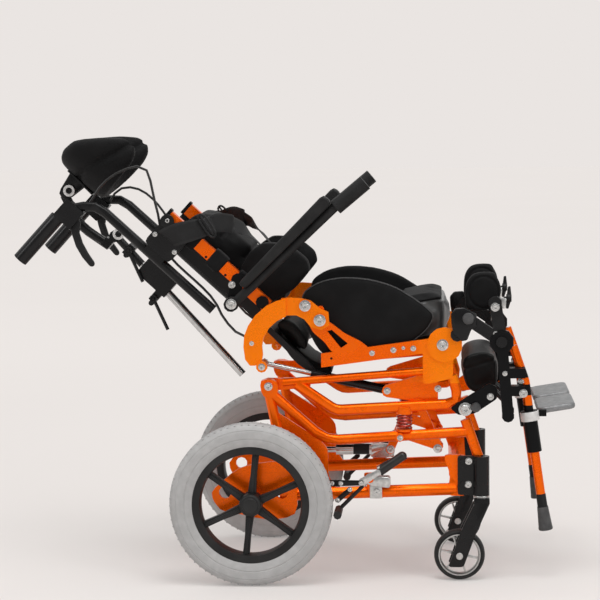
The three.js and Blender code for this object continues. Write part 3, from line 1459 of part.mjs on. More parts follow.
piece('headrest_mount', headrestMount(), black, backFrame);
piece('headrest_stem', join(stem, stemPin), silver, backFrame);
piece('headrest_arm', headrestArm(), black, backFrame);
piece('headrest_pad', headrestPiece(), fabric, backFrame);
piece('clamp_lever_upper', clampLever(clampHigh), black, backFrame);
piece('clamp_lever_lower', clampLever(clampLow), black, backFrame);

// Armrests: a hub on the handle's pin, a tube, a padded top and an upright hand grip at the front
const armTubeRadius = 9.5;
const armTubeEndX = 196;
const armTubeEndZ = 122;
const armPadStart = -50;
const armPadEnd = 184;
const armPadThickness = 17;
const armPadHalfWidth = 19;
const armPadDrop = 14;
const armGripRadius = 15;
const armGripEndX = 254;
const armGripEndZ = 112;
const armHubRadius = 14;
const armOffset = 200;

function armrest(side) {
  const y = side * armOffset;
  const hub = pin(armPivotX, armPivotZ, side * armInner, side * (armInner + armDepthY), armHubRadius);
  const bar = tube([at(armPivotX, armPivotZ - armTubeRadius / 4, y), at(armTubeEndX, armTubeEndZ, y)],
    armTubeRadius);
  const grip = tube([at(armTubeEndX - armGripRadius, armTubeEndZ, y), at(armGripEndX, armGripEndZ, y)],
    armGripRadius, 0,
    roundSides);
  const top = [
    [armPadStart, armPivotZ + armPadThickness], [armPadEnd, armPivotZ + armPadThickness - armPadDrop / 2],
    [armPadEnd, armPivotZ - armPadDrop], [armPadStart, armPivotZ],
  ];
  const cover = slab(top, armPadThickness / 3, y, armPadHalfWidth * 2, armPadThickness / 4);
  const hole = bore(armPivotX, armPivotZ, side * (armInner - overrun),
    side * (armInner + armDepthY + overrun),
    armPinRadius);
  return cut(join(hub, bar, grip, cover), hole);
}

for (const side of [right, left]) {
  piece(`armrest_${sideName(side)}`, armrest(side), black, backFrame);
}

// Leg hangers: black plates from the knee plate to the disc joint, with the knee pad's upright
const hangerInner = railOffset + railThickness + gap * 2;
const hangerDepth = 9;
const hangerRadius = 13;
const discRadius = 24;
const hangerFootX = 394;
const hangerFootZ = 475;
const hangerBendX = 416;
const hangerBendZ = 504;
const hangerTopX = 466;
const hangerTopZ = 536;
const legPinRadius = 7;
const legInner = hangerInner + hangerDepth + gap;
const legDepth = 8;
const kneePinLow = 500;
const padPostRadius = 7;

function legHanger(side) {
  const y = side * (hangerInner + hangerDepth / 2);
  const foot = arm(hangerFootX, hangerFootZ, hangerBendX, hangerBendZ, hangerRadius, y, hangerDepth);
  const knee = arm(hangerBendX, hangerBendZ, kneeX, kneeZ, hangerRadius, y, hangerDepth);
  const upright = arm(hangerTopX, hangerTopZ, kneeX, kneeZ, hangerRadius, y, hangerDepth);
  const disc = pin(kneeX, kneeZ, y - hangerDepth / 2, y + hangerDepth / 2, discRadius);
  const cap = pin(hangerBendX, hangerBendZ, y, y + side * hangerDepth, hangerRadius * 0.85);
  const pivot = join(
    pin(kneeX, kneeZ, y, side * (legInner + legDepth + gap), legPinRadius),
    pin(kneeX, kneeZ, side * (legInner + legDepth + gap), side * (legInner + legDepth + gap + boltHead),
      legPinRadius + boltHead),
  );
  const padPost = join(
    post(hangerTopX, side * padPostY, kneePinLow, hangerTopZ, padPostRadius),
    block(hangerTopX - padPostRadius, hangerTopX + padPostRadius, side * padPostY, y, kneePinLow,
    kneePinLow + hangerDepth),
  );
  return join(foot, knee, upright, disc, cap, pivot, padPost);
}
const padPostY = 150;

// Knee pads: a rounded pad on an arm that turns about the hanger's post
const kneePadX = 449;
const kneePadZ = 550;
const kneePadLength = 70;
const kneePadHeight = 86;
const kneePadThickness = 34;
const kneePadOffset = 112;
const kneeArmHeight = 14;
const kneeCollar = 12;

function kneePad(side) {
  const z = (kneePinLow + hangerDepth + gap + hangerTopZ) / 2 + kneeArmHeight / 4;
  const collar = cut(
    post(hangerTopX, side * padPostY, z - kneeArmHeight / 2, z + kneeArmHeight / 2, kneeCollar),
    boreUp(hangerTopX, side * padPostY, z - kneeArmHeight, z + kneeArmHeight, padPostRadius),
  );
  const reach = block(hangerTopX - padPostRadius, hangerTopX + padPostRadius,
    side * (padPostY - padPostRadius - gap * 2),
    side * kneePadOffset, z - kneeArmHeight / 2, z + kneeArmHeight / 2);
  const half = kneePadLength / 2;
  const rise = kneePadHeight / 2;
  const form = slab([
    [kneePadX - half, kneePadZ - rise], [kneePadX + half, kneePadZ - rise], [kneePadX + half,
      kneePadZ + rise],
    [kneePadX - half, kneePadZ + rise],
  ], half * 0.9, side * kneePadOffset, kneePadThickness, kneePadThickness / 3);
  return join(collar, reach, form);
}

for (const side of [right, left]) {
  piece(`leg_hanger_${sideName(side)}`, legHanger(side), black);
  piece(`knee_pad_${sideName(side)}`, kneePad(side), fabric);
}

// Leg tubes: a flat black bar on the disc joint, the orange tube clamped to it and the black sleeve
const legBarFootX = 490;
const legBarFootZ = 320;
const legBarRadius = 12;
const legTubeRadius = 9.5;
const legTubeOffset = 170;
const sleeveRadius = 14;
const sleeveTopX = 531;
const sleeveTopZ = 322;
const sleeveFootX = 541.5;
const sleeveFootZ = 248;
const legTopX = 500;
const legTopZ = 452;
const legMidX = 523;
const legMidZ = 385;
const clampHeight = 34;
const stayRadius = 9;
const stayInside = 58;
const stayLength = 82;
const collarRadius = 17;
const plateHingeX = 546;
const plateHingeZ = 330;
const footLugDepth = 10;
const footLugReach = 18;
const footLugHeight = 12;
const footPlateOuter = 160;
const calfBarZ = 330;
const calfBarRadius = 8;

// The line of the sleeve and stay, and a point on it measured from the sleeve's foot
const stayLine = at(sleeveFootX - sleeveTopX, sleeveFootZ - sleeveTopZ).normalize();
function stayAt(distance, y) {
  return at(sleeveFootX + stayLine.x * distance, sleeveFootZ + stayLine.z * distance, y);
}

function legTube(side) {
  const barY = side * (legInner + legDepth / 2);
  const y = side * legTubeOffset;
  const bar = cut(
    join(arm(kneeX, kneeZ, legBarFootX, legBarFootZ, legBarRadius, barY, legDepth),
      pin(kneeX, kneeZ, barY - legDepth / 2, barY + legDepth / 2, discRadius * 0.9)),
    bore(kneeX, kneeZ, side * (legInner - overrun), side * (legInner + legDepth + overrun), legPinRadius),
  );
  const run = tube([at(legTopX, legTopZ, y), at(legMidX, legMidZ, y), at(sleeveTopX, sleeveTopZ, y)],
    legTubeRadius,
    baseBend);
  const clamps = [0.25, 0.75].map((share) => {
    const z = legMidZ - clampHeight + share * clampHeight * 2;
    return block(legBarFootX - legBarRadius / 2, legMidX, y, barY + side * (legDepth / 2),
      z - legTubeRadius, z + legTubeRadius);
  });
  const sleeve = tube([at(sleeveTopX, sleeveTopZ, y), at(sleeveFootX, sleeveFootZ, y)], sleeveRadius, 0,
    roundSides);
  const collar = tube([
    at(sleeveTopX, sleeveTopZ, y).addScaledVector(stayLine, -footLugDepth / 2),
    at(sleeveTopX, sleeveTopZ, y).addScaledVector(stayLine, footLugDepth),
  ], collarRadius, 0, roundSides);
  const lug = block(sleeveTopX, plateHingeX + footLugReach, side * (footPlateOuter + gap),
    side * (footPlateOuter + gap + footLugDepth), plateHingeZ - footLugHeight - overrun,
    plateHingeZ - overrun);
  const hole = tube([stayAt(-stayInside - overrun, y), stayAt(overrun, y)], stayRadius + gap);
  const calfBoss = pin(legBarFootX, calfBarZ, barY, side * (legInner - calfBossReach), calfBarRadius * 1.5);
  return join(cut(join(sleeve, collar, run, lug), hole), bar, clamps, calfBoss);
}
const calfBossReach = 12;

// Stabiliser stays: a tube that slides out of the sleeve, with a rubber foot
const footNeckRadius = 7;
const footNeckLength = 8;
const footRadius = 11;
const footLength = 44;

function footStay(side) {
  const y = side * legTubeOffset;
  const bar = tube([stayAt(-stayInside, y), stayAt(stayLength, y)], stayRadius);
  const neck = tube([stayAt(stayLength - overrun, y), stayAt(stayLength + footNeckLength * 2, y)],
    footNeckRadius);
  const foot = tube([stayAt(stayLength + footNeckLength, y),
    stayAt(stayLength + footNeckLength + footLength, y)],
    footRadius, 0, roundSides);
  return join(bar, neck, foot);
}

// Footplates: thick grey plates that fold up about their outer rear edge
const footPlateLength = 74;
const footPlateWidth = 146;
const footPlateThickness = 12;
const footPlateTilt = 9;

function footPlate(side) {
  const edge = 2 * overrun;
  const shape = outline(inset([
    [0, 0], [footPlateLength, 0], [footPlateLength, footPlateWidth], [0, footPlateWidth],
  ], edge), footPlateThickness);
  const depth = footPlateThickness - 2 * edge;
  const settings = { depth, bevelThickness: edge, bevelSize: edge, bevelSegments: 2, curveSegments: 3 };
  const geometry = new THREE.ExtrudeGeometry(shape, settings);
  geometry.scale(1, -side, 1);
  geometry.translate(0, 0, edge - footPlateThickness);
  geometry.rotateY(-footPlateTilt * degrees);
  geometry.translate(plateHingeX, side * footPlateOuter, plateHingeZ);
  return solid(geometry);
}

for (const side of [right, left]) {
  piece(`leg_tube_${sideName(side)}`, legTube(side), orange);
  piece(`stabiliser_foot_${sideName(side)}`, footStay(side), orange);
  piece(`footplate_${sideName(side)}`, footPlate(side), greyPlate);
}

// Calf pad across both legs, with the bar that holds it
const calfWidth = 270;
const calfHeight = 56;
const calfThickness = 58;
const calfX = 441;
const calfZ = 389;
const calfLean = 18;

const calfFill = cushion({
  length: calfHeight, width: calfWidth, height: calfThickness, crown: cushionCrown / 2,
    pull: cushionPull / 2,
  channelDepth: 0, channelShares: [0], rows: 6, columns: 8,
});
const calfTurn = new THREE.Matrix4().makeRotationY((90 - calfLean) * degrees);
const calfPlace = new THREE.Matrix4().makeTranslation(calfX, 0, calfZ);
const calfBody = solid(geometryOf(calfFill).applyMatrix4(calfTurn).applyMatrix4(calfPlace));
const calfReach = legInner - calfBossReach - gap;
const calfBar = pin(legBarFootX, calfBarZ, -calfReach, calfReach, calfBarRadius);
const calfArms = [-0.5, 0.5].map((share) => arm(legBarFootX, calfBarZ, calfX, calfZ - calfHeight / 3,
  calfBarRadius,
  share * calfWidth / 2, calfBarRadius));
piece('calf_pad', join(calfBody, calfBar, calfArms), fabric);

// The origin goes to the floor under the middle of the chair
chair.updateMatrixWorld(true);
const bounds = new THREE.Box3().setFromObject(chair, true);
chair.position.set(-(bounds.min.x + bounds.max.x) / 2, -(bounds.min.y + bounds.max.y) / 2, -bounds.min.z);

export default chair;
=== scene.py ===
import math
import bpy
from mathutils import Matrix, Vector


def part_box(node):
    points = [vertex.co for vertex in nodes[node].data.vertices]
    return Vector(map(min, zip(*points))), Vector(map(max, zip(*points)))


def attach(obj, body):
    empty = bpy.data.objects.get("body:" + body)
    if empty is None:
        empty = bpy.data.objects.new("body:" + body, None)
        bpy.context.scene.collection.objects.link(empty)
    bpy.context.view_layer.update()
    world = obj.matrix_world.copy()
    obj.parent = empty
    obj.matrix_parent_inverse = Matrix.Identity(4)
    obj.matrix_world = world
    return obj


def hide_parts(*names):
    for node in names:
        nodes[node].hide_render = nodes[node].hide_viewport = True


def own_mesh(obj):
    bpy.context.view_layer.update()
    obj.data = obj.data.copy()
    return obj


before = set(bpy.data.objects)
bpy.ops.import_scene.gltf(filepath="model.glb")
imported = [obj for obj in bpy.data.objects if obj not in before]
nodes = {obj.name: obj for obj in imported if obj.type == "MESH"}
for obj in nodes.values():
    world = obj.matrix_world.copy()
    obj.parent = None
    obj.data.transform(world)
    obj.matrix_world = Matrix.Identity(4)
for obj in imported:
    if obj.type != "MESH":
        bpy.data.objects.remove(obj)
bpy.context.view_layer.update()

# The view
# The photograph looks at the chair's right side from about four metres, a little from the front and from above.
# The camera hangs from the near rear wheel's middle, so it follows the chair if the origin moves.
wheel_low, wheel_high = (Vector(corner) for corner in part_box("rear_wheel_right"))
axle = (wheel_low + wheel_high) / 2
axle.y = 0
view_turn = 0.06561
view_drop = 0.08841
view_roll = -0.0098
ahead = Vector((-math.sin(view_turn) * math.cos(view_drop), math.cos(view_turn) * math.cos(view_drop),
                -math.sin(view_drop)))
level = Vector((math.cos(view_turn), math.sin(view_turn), 0))
upward = level.cross(ahead)
across = level * math.cos(view_roll) + upward * math.sin(view_roll)
rise = upward * math.cos(view_roll) - level * math.sin(view_roll)
camera_data = bpy.data.cameras.new("camera")
camera_data.lens = 36 * 2109.97 / 600
camera = bpy.data.objects.new("camera", camera_data)
bpy.context.scene.collection.objects.link(camera)
camera.matrix_world = Matrix.Translation(Vector((axle.x + 0.35785, -4.19584, 0.899))) @ Matrix(
    (across, rise, -ahead)).transposed().to_4x4()
bpy.context.scene.camera = camera


# Shader maths: a value is a socket, and an expression on values adds the nodes that work it out
class Value:
    def __init__(self, tree, socket):
        self.tree = tree
        self.socket = socket

    def made(self, kind, settings, inputs, output=0):
        node = self.tree.nodes.new(kind)
        for key, setting in settings.items():
            setattr(node, key, setting)
        for key, value in inputs.items():
            socket = node.inputs[key]
            if isinstance(value, Value):
                self.tree.links.new(value.socket, socket)
            else:
                socket.default_value = value
        return Value(self.tree, node.outputs[output])

    def math(self, operation, *values):
        return self.made("ShaderNodeMath", {"operation": operation}, dict(enumerate(values)))

    def __add__(self, other):
        return self.math("ADD", self, other)

    def __sub__(self, other):
        return self.math("SUBTRACT", self, other)

    def __rsub__(self, other):
        return self.math("SUBTRACT", other, self)

    def __mul__(self, other):
        return self.math("MULTIPLY", self, other)

    __radd__ = __add__
    __rmul__ = __mul__

    def part(self, axis):
        return self.made("ShaderNodeSeparateXYZ", {}, {"Vector": self}, axis)

    def size(self):
        return self.math("ABSOLUTE", self)

    def sine(self):
        return self.math("SINE", self)

    def most(self, other):
        return self.math("MAXIMUM", self, other)

    def step(self, low, high):
        span = {"From Min": low, "From Max": high, "To Min": 0.0, "To Max": 1.0, "Value": self}
        return self.made("ShaderNodeMapRange", {"interpolation_type": "SMOOTHSTEP"}, span)

    def noise(self, scale, detail=3.0):
        return self.made("ShaderNodeTexNoise", {}, {"Vector": self, "Scale": scale, "Detail": detail})

    def blend(self, low, high):
        mix = self.tree.nodes.new("ShaderNodeMix")
        mix.data_type = "RGBA"
        self.tree.links.new(self.socket, mix.inputs[0])
        for socket, colour in ((mix.inputs[6], low), (mix.inputs[7], high)):
            if isinstance(colour, Value):
                self.tree.links.new(colour.socket, socket)
            else:
                socket.default_value = (*colour, 1)
        return Value(self.tree, mix.outputs[2])

    def bump(self, strength, distance):
        return self.made("ShaderNodeBump", {}, {"Height": self, "Strength": strength, "Distance": distance})


def finish(name, fixed):
    """A new material with its fixed shader values set, and the place on the piece as a value."""
    material = bpy.data.materials.new(name)
    material.use_nodes = True
    tree = material.node_tree
    shader = tree.nodes["Principled BSDF"]
    for key, value in fixed.items():
        shader.inputs[key].default_value = value
    place = Value(tree, tree.nodes.new("ShaderNodeTexCoord").outputs["Object"])
    return material, place


def feed(material, **links):
    """Joins worked-out values to the shader's sockets."""
    shader = material.node_tree.nodes["Principled BSDF"]
    for key, value in links.items():
        material.node_tree.links.new(value.socket, shader.inputs[key.replace("_", " ")])


# The studio
# A pale paper floor, which glows more where the lamps reach it less, under a pale room. The room behind the lens is darker and a broad ceiling panel is brighter,
# so lacquer and chrome have something to mirror. Three lamps add the streaks of light.
bpy.context.scene.view_settings.view_transform = "Standard"
paper_light = (0.823, 0.783, 0.761)
world = bpy.data.worlds.new("room")
bpy.context.scene.world = world
world.use_nodes = True
tree = world.node_tree
background = tree.nodes["Background"]
seen = Value(tree, tree.nodes.new("ShaderNodeLightPath").outputs["Is Camera Ray"])
toward = Value(tree, tree.nodes.new("ShaderNodeTexCoord").outputs["Generated"])
ceiling = toward.part(2).step(0.30, 0.85)
far_wall = toward.part(1).step(-0.2, 0.7)
room_glow = 0.34 + 1.15 * ceiling + 0.42 * far_wall
tree.links.new(seen.blend(room_glow.blend((0, 0, 0), (1.0, 0.985, 0.97)), paper_light).socket,
               background.inputs["Color"])
background.inputs["Strength"].default_value = 1.0
for name, place, target, size, power in [
    ("overhead", (0.4, -0.9, 2.6), (0, 0, 0.4), 1.2, 20),
    ("front", (2.4, -2.6, 1.7), (0.2, 0, 0.4), 0.9, 18),
    ("rear_left", (-2.2, -1.6, 2.0), (-0.1, 0, 0.6), 0.7, 10),
]:
    lamp = bpy.data.lights.new(name, "AREA")
    lamp.size = size
    lamp.energy = power
    lamp_object = bpy.data.objects.new(name, lamp)
    bpy.context.scene.collection.objects.link(lamp_object)
    lamp_object.location = place
    lamp_object.rotation_euler = (Vector(target) - Vector(place)).to_track_quat("-Z", "Y").to_euler()
bpy.ops.object.select_all(action="DESELECT")
bpy.ops.mesh.primitive_plane_add(size=60, location=(0, 0, -0.0005))
floor = bpy.context.object
floor.name = "floor"
paper, place = finish("floor_paper", {"Roughness": 0.85, "Specular IOR Level": 0.0, "Emission Strength": 1.0})
away = (place.part(1) + 0.5).size().step(-1.0, 5.0)
feed(paper, Base_Color=place.noise(0.7).step(0.3, 0.7).blend((0.547, 0.521, 0.507), (0.553, 0.527, 0.513)),
     Emission_Color=away.blend((0.1985, 0.1925, 0.1888), (0.336, 0.3235, 0.3163)))
floor.data.materials.append(paper)

# The painted frame
# Bent steel tubes, laser-cut plates and hinge plates, powder-coated metallic orange under a clear lacquer.
# Fine flakes glitter in the lacquer, and the coat is a little uneven.
def lacquer(name, dark=None, gold=None):
    """Metallic orange; where the highlight mask is one it is painted lighter and yellower, a painted highlight, and
    where the dark one is one, satin black.
    """
    material, place = finish(name, {"Coat Roughness": 0.05, "Coat IOR": 1.5, "Specular IOR Level": 0.06})
    flake = place.noise(2400, 1.0).step(0.42, 0.62)
    cloud = place.noise(26).step(0.3, 0.72)
    deep = flake.blend((0.93, 0.108, 0.0005), (0.99, 0.148, 0.0008))
    colour = (cloud * 0.4).blend(deep, (1.0, 0.172, 0.001))
    rough = 0.23 + 0.08 * cloud + 0.05 * flake
    metal = 0.66 + 0.04 * cloud
    coat = 0.10 + 0.06 * cloud
    # Painted highlight: where this mask is one the orange is lighter, yellower and less metallic, standing for brighter
    # light on those plates.
    if gold:
        mask = gold(place)
        colour = mask.blend(colour, (1.0, 0.245, 0.001))
        metal = metal - 0.4 * mask
    if dark:
        mask = dark(place)
        colour = mask.blend(colour, (0.006, 0.006, 0.0065))
        rough = rough + 0.12 * mask
        metal = metal * (1 - mask)
        coat = coat * (1 - 0.6 * mask)
    feed(material, Base_Color=colour, Roughness=rough, Metallic=metal, Coat_Weight=coat,
         Normal=flake.bump(0.004, 0.0003))
    return material


def dressed(names, material, edge=0.0005, slot=None):
    """Welds each solid's corners, rounds its edges and gives it the finish."""
    for name in names:
        solid = nodes[name]
        solid.data.materials.clear()
        solid.data.materials.append(material)
        solid.data.polygons.foreach_set("use_smooth", [True] * len(solid.data.polygons))
        weld = solid.modifiers.new("weld", "WELD")
        weld.merge_threshold = 0.00002
        flat = solid.modifiers.new("flat", "DECIMATE")
        flat.decimate_type = "DISSOLVE"
        flat.angle_limit = math.radians(0.6)
        if edge:
            bevel = solid.modifiers.new("edge", "BEVEL")
            bevel.width = edge
            bevel.segments = 2
            bevel.limit_method = "ANGLE"
            bevel.angle_limit = math.radians(50)
        split = solid.modifiers.new("split", "EDGE_SPLIT")
        split.split_angle = math.radians(50)
        even = solid.modifiers.new("even", "WEIGHTED_NORMAL")
        even.weight = 100


def both(*stems):
    return [f"{stem}_{side}" for stem in stems for side in ("right", "left")]


def outward(place, reach):
    """One where the place is further from the chair's middle line than the reach."""
    return place.part(1).size().step(reach - 0.0002, reach + 0.0002)


def above(place, height):
    return place.part(2).step(height - 0.0003, height + 0.0003)


def forward(place, reach):
    return place.part(0).step(axle.x + reach - 0.0003, axle.x + reach + 0.0003)


def beyond(place, run, climb, reach):
    """One where the way forward and the way up, each times its share, come to more than the reach."""
    level = axle.x * run + reach
    return (place.part(0) * run + place.part(2) * climb).step(level - 0.0003, level + 0.0003)


def dot(place, x, z, radius):
    """One inside a small circle seen from the side, its middle and radius in millimetres."""
    run = place.part(0) - (axle.x + x / 1000)
    climb = place.part(2) - z / 1000
    return (run * run + climb * climb).step((radius / 1000) ** 2 * 1.2, (radius / 1000) ** 2 * 0.8)


orange = lacquer("orange_lacquer")
dressed(both("base_side") + ["base_cross_tube_rear", "tilt_crank", "tilt_lift_link"], orange)
# The hook plates are painted lighter and yellower all over, with a little noise: a painted highlight.
dressed(both("hook_plate"), lacquer("hook_lacquer", gold=lambda place: 0.72 - 0.1 * place.noise(9)))


def seat_dark(place):
    """The sloping strut at the foot of a seat side is black, and a small black dot at its rear end is painted shade
    standing for a hole.
    """
    strut = outward(place, 0.1712) * (1 - beyond(place, -0.65, 1, 0.0877)) * forward(place, 0.374)
    # The dot is painted shade for a hole.
    return strut.most(dot(place, 153, 429, 2.4))


def cane_dark(place):
    """The outer bracket and the cane's cap are black, and a black dot in each orange window is painted shade standing
    for a hole.
    """
    caps = beyond(place, -0.73728, 0.67559, 0.592)
    painted_hole_shade = dot(place, -87, 625, 2.6).most(dot(place, -50, 590, 2.6))
    # The two dots are painted shade for holes.
    return outward(place, 0.1706).most(caps).most(painted_hole_shade)


# From 290 mm forward of the axle and above 380 mm the seat sides are painted lighter and yellower: a painted highlight.
dressed(both("seat_side"), lacquer("seat_lacquer", seat_dark, lambda place: place.part(0).step(
    axle.x + 0.29, axle.x + 0.36) * 0.75 * above(place, 0.380)))
dressed(both("back_cane"), lacquer("cane_lacquer", cane_dark))


def leg_dark(place):
    """The flat bar, the two clamps and the sleeve of a leg tube are black."""
    bar = outward(place, 0.1800)
    clamps = above(place, 0.3575) - above(place, 0.3785) + above(place, 0.3915) - above(place, 0.4125)
    return bar.most(1 - above(place, 0.338)).most(clamps)


dressed(both("leg_tube"), lacquer("leg_lacquer", leg_dark))

# The black painted metal
# Caster housings and forks, push handles, leg hangers, the seat pan and the headrest's fittings are satin black.
satin, place = finish("satin_black", {"Specular IOR Level": 0.27})
grain = place.noise(900, 2.0)
wear = place.noise(34).step(0.45, 0.8)
feed(satin, Base_Color=wear.blend((0.0045, 0.0045, 0.005), (0.0095, 0.0095, 0.010)),
     Roughness=0.25 + 0.14 * wear, Normal=grain.bump(0.12, 0.0002))
dressed(both("caster_housing", "leg_hanger") + ["seat_pan", "headrest_arm", "recline_spring_body"], satin)
dressed(both("push_handle") + ["headrest_mount"], satin, edge=0.004)

# The bright metal
# Gas spring rods and the headrest's stem are bright chromed steel, with a faint drawn grain. The tilt spring's
# cylinder is bright too, with a black band, and the stem's upper half is black.
def chromed(name, dark=None):
    """Bright steel; where the dark mask is one it is black."""
    material, place = finish(name, {"Specular IOR Level": 0.3})
    drawn = place.noise(60, 4.0)
    bright = drawn.step(0.3, 0.8).blend((0.50, 0.50, 0.50), (0.68, 0.68, 0.67))
    mask = dark(place) if dark else 0 * drawn
    feed(material, Base_Color=mask.blend(bright, (0.006, 0.006, 0.0065)), Metallic=1 - mask,
         Roughness=0.13 + 0.10 * drawn + 0.2 * mask, Normal=place.noise(1500).bump(0.03, 0.0002))
    return material


steel = chromed("bright_steel")
dressed(["tilt_spring_rod", "recline_spring_rod"], steel)
dressed(["tilt_spring_body"], chromed("banded_steel", lambda place: forward(place, 0.187) - forward(place, 0.219)))
dressed(["headrest_stem"], chromed("stem_steel", lambda place: beyond(place, -0.73728, 0.67559, 0.578)))

# The wheel locks
# A bent bright lever with a knob of black rubber on its arm, and a rubber shoe that bears on the tyre.
lock_metal, place = finish("lock_metal", {"Specular IOR Level": 0.45})
rubbered = (above(place, 0.2165) * forward(place, 0.2445)).most(1 - forward(place, 0.214))
feed(lock_metal, Base_Color=rubbered.blend((0.55, 0.55, 0.54), (0.008, 0.008, 0.0085)),
     Metallic=1 - rubbered, Roughness=0.2 + 0.35 * rubbered + 0.1 * place.noise(300),
     Normal=place.noise(1200).bump(0.1, 0.0002))
dressed(both("wheel_lock_lever"), lock_metal)

# The moulded black plastic
# The back shell and the clamp levers are black nylon with a fine moulded grain.
nylon, place = finish("black_nylon", {"Specular IOR Level": 0.3})
speck = place.noise(1400, 2.0)
feed(nylon, Base_Color=place.noise(22).step(0.3, 0.8).blend((0.005, 0.005, 0.0055), (0.010, 0.010, 0.0105)),
     Roughness=0.38 + 0.14 * speck, Normal=speck.bump(0.22, 0.0003))
dressed(["back_shell", "clamp_lever_upper", "clamp_lever_lower"], nylon)

# The foam rubber and the cable covers
# Armrests wear a closed-cell foam sleeve, and the release cables run in smooth black covers.
foam, place = finish("foam_rubber", {"Specular IOR Level": 0.28})
pore = place.noise(1900, 2.0)
feed(foam, Base_Color=place.noise(40).step(0.3, 0.8).blend((0.007, 0.007, 0.0072), (0.014, 0.014, 0.0142)),
     Roughness=0.50 + 0.2 * pore, Normal=pore.bump(0.25, 0.0004))
dressed(both("armrest"), foam, edge=0.003)
cover, place = finish("cable_cover", {"Specular IOR Level": 0.5})
feed(cover, Base_Color=place.noise(80).step(0.3, 0.8).blend((0.008, 0.008, 0.008), (0.014, 0.014, 0.014)),
     Roughness=0.28 + 0.1 * place.noise(200))
dressed(both("release_cable"), cover, edge=0)

# The bumper springs
# Two short coil springs under the seat frame, in red lacquer; their dark red is partly their own colour and partly
# painted shade.
red, place = finish("spring_lacquer", {"Metallic": 0.3, "Coat Weight": 0.4})
# The deep red is partly painted shade.
feed(red, Base_Color=place.noise(120).step(0.3, 0.8).blend((0.30, 0.012, 0.003), (0.42, 0.024, 0.005)),
     Roughness=0.28 + 0.1 * place.noise(300))
dressed(both("bumper_spring"), red, edge=0)

# The footplates
# Thick aluminium plates with a ribbed, non-slip top.
plate, place = finish("footplate_grey", {"Metallic": 0.6})
feed(plate, Base_Color=place.noise(90).step(0.3, 0.75).blend((0.20, 0.205, 0.21), (0.29, 0.295, 0.30)),
     Roughness=0.45 + 0.15 * place.noise(500), Normal=place.noise(1200).bump(0.15, 0.0003))
dressed(both("footplate"), plate, edge=0.001)


def at(x, y, z):
    """A place in millimetres: forward of the rear axle, to the chair's left and above the floor."""
    return Vector((axle.x + x / 1000, y / 1000, z / 1000))


def on_back(out, side, up):
    """A place on the back frame in millimetres from the recline pivot: out of the canes and up along them."""
    return at(132 + 0.67559 * out - 0.73728 * up, side, 504 + 0.73728 * out + 0.67559 * up)


def on_seat(along, side, up):
    return at(140 + 0.9905 * along - 0.1374 * up, side, 425 + 0.1374 * along + 0.9905 * up)


def drawn_up(name, points, edges=(), faces=()):
    """A piece from its corners, edges and faces, alone selected and active."""
    bpy.ops.object.select_all(action="DESELECT")
    mesh = bpy.data.meshes.new(name)
    mesh.from_pydata([tuple(point) for point in points], list(edges), [list(face) for face in faces])
    piece = bpy.data.objects.new(name, mesh)
    bpy.context.scene.collection.objects.link(piece)
    piece.select_set(True)
    bpy.context.view_layer.objects.active = piece
    return piece


def smoothed(piece, angle=40):
    bpy.ops.object.select_all(action="DESELECT")
    piece.select_set(True)
    bpy.context.view_layer.objects.active = piece
    bpy.ops.object.shade_smooth_by_angle(angle=math.radians(angle))


def shaped(piece, kind, **settings):
    """Applies one modifier with its settings."""
    bpy.ops.object.select_all(action="DESELECT")
    piece.select_set(True)
    bpy.context.view_layer.objects.active = piece
    modifier = piece.modifiers.new(kind.lower(), kind)
    for key, value in settings.items():
        setattr(modifier, key, value)
    bpy.ops.object.modifier_apply(modifier=modifier.name)


def turned(name, profile, middle, steps=96):
    """A ring spun about the sideways axis from a closed profile of (radius, way outwards) in millimetres."""
    count = len(profile)
    piece = drawn_up(name, [middle + Vector((radius / 1000, out / 1000, 0)) for radius, out in profile],
                     [(index, (index + 1) % count) for index in range(count)])
    bpy.ops.object.mode_set(mode="EDIT")
    bpy.ops.mesh.select_all(action="SELECT")
    bpy.ops.mesh.spin(steps=steps, angle=2 * math.pi, center=middle, axis=(0, 1, 0))
    bpy.ops.mesh.select_all(action="SELECT")
    bpy.ops.mesh.remove_doubles(threshold=0.00002)
    bpy.ops.mesh.normals_make_consistent(inside=False)
    bpy.ops.object.mode_set(mode="OBJECT")
    smoothed(piece, 35)
    return piece


def plate_of(name, corners, depth, edge=0.0008):
    """A plate cut along its corners, drawn out sideways by its depth, its edges broken."""
    piece = drawn_up(name, corners, [], [range(len(corners))])
    bpy.ops.object.mode_set(mode="EDIT")
    bpy.ops.mesh.select_all(action="SELECT")
    bpy.ops.mesh.extrude_region_move(TRANSFORM_OT_translate={"value": (0, depth / 1000, 0)})
    bpy.ops.mesh.select_all(action="SELECT")
    bpy.ops.mesh.normals_make_consistent(inside=False)
    bpy.ops.object.mode_set(mode="OBJECT")
    if edge:
        shaped(piece, "BEVEL", width=edge, segments=2, limit_method="ANGLE", angle_limit=math.radians(30))
    smoothed(piece)
    return piece


def rod(name, route, radius, bend=False, sides=5):
    """A round bar along a route of places, with closed ends; a bent one runs on a smooth curve."""
    bpy.ops.object.select_all(action="DESELECT")
    curve = bpy.data.curves.new(name, "CURVE")
    curve.dimensions = "3D"
    spline = curve.splines.new("NURBS" if bend else "POLY")
    spline.points.add(len(route) - 1)
    for point, spot in zip(spline.points, route):
        point.co = (*spot, 1)
    if bend:
        spline.order_u = 4
        spline.use_endpoint_u = True
        spline.resolution_u = 8
    curve.bevel_depth = radius / 1000
    curve.bevel_resolution = sides
    curve.use_fill_caps = True
    piece = bpy.data.objects.new(name, curve)
    bpy.context.scene.collection.objects.link(piece)
    piece.select_set(True)
    bpy.context.view_layer.objects.active = piece
    bpy.ops.object.convert(target="MESH")
    piece = bpy.context.object
    smoothed(piece, 50)
    return piece


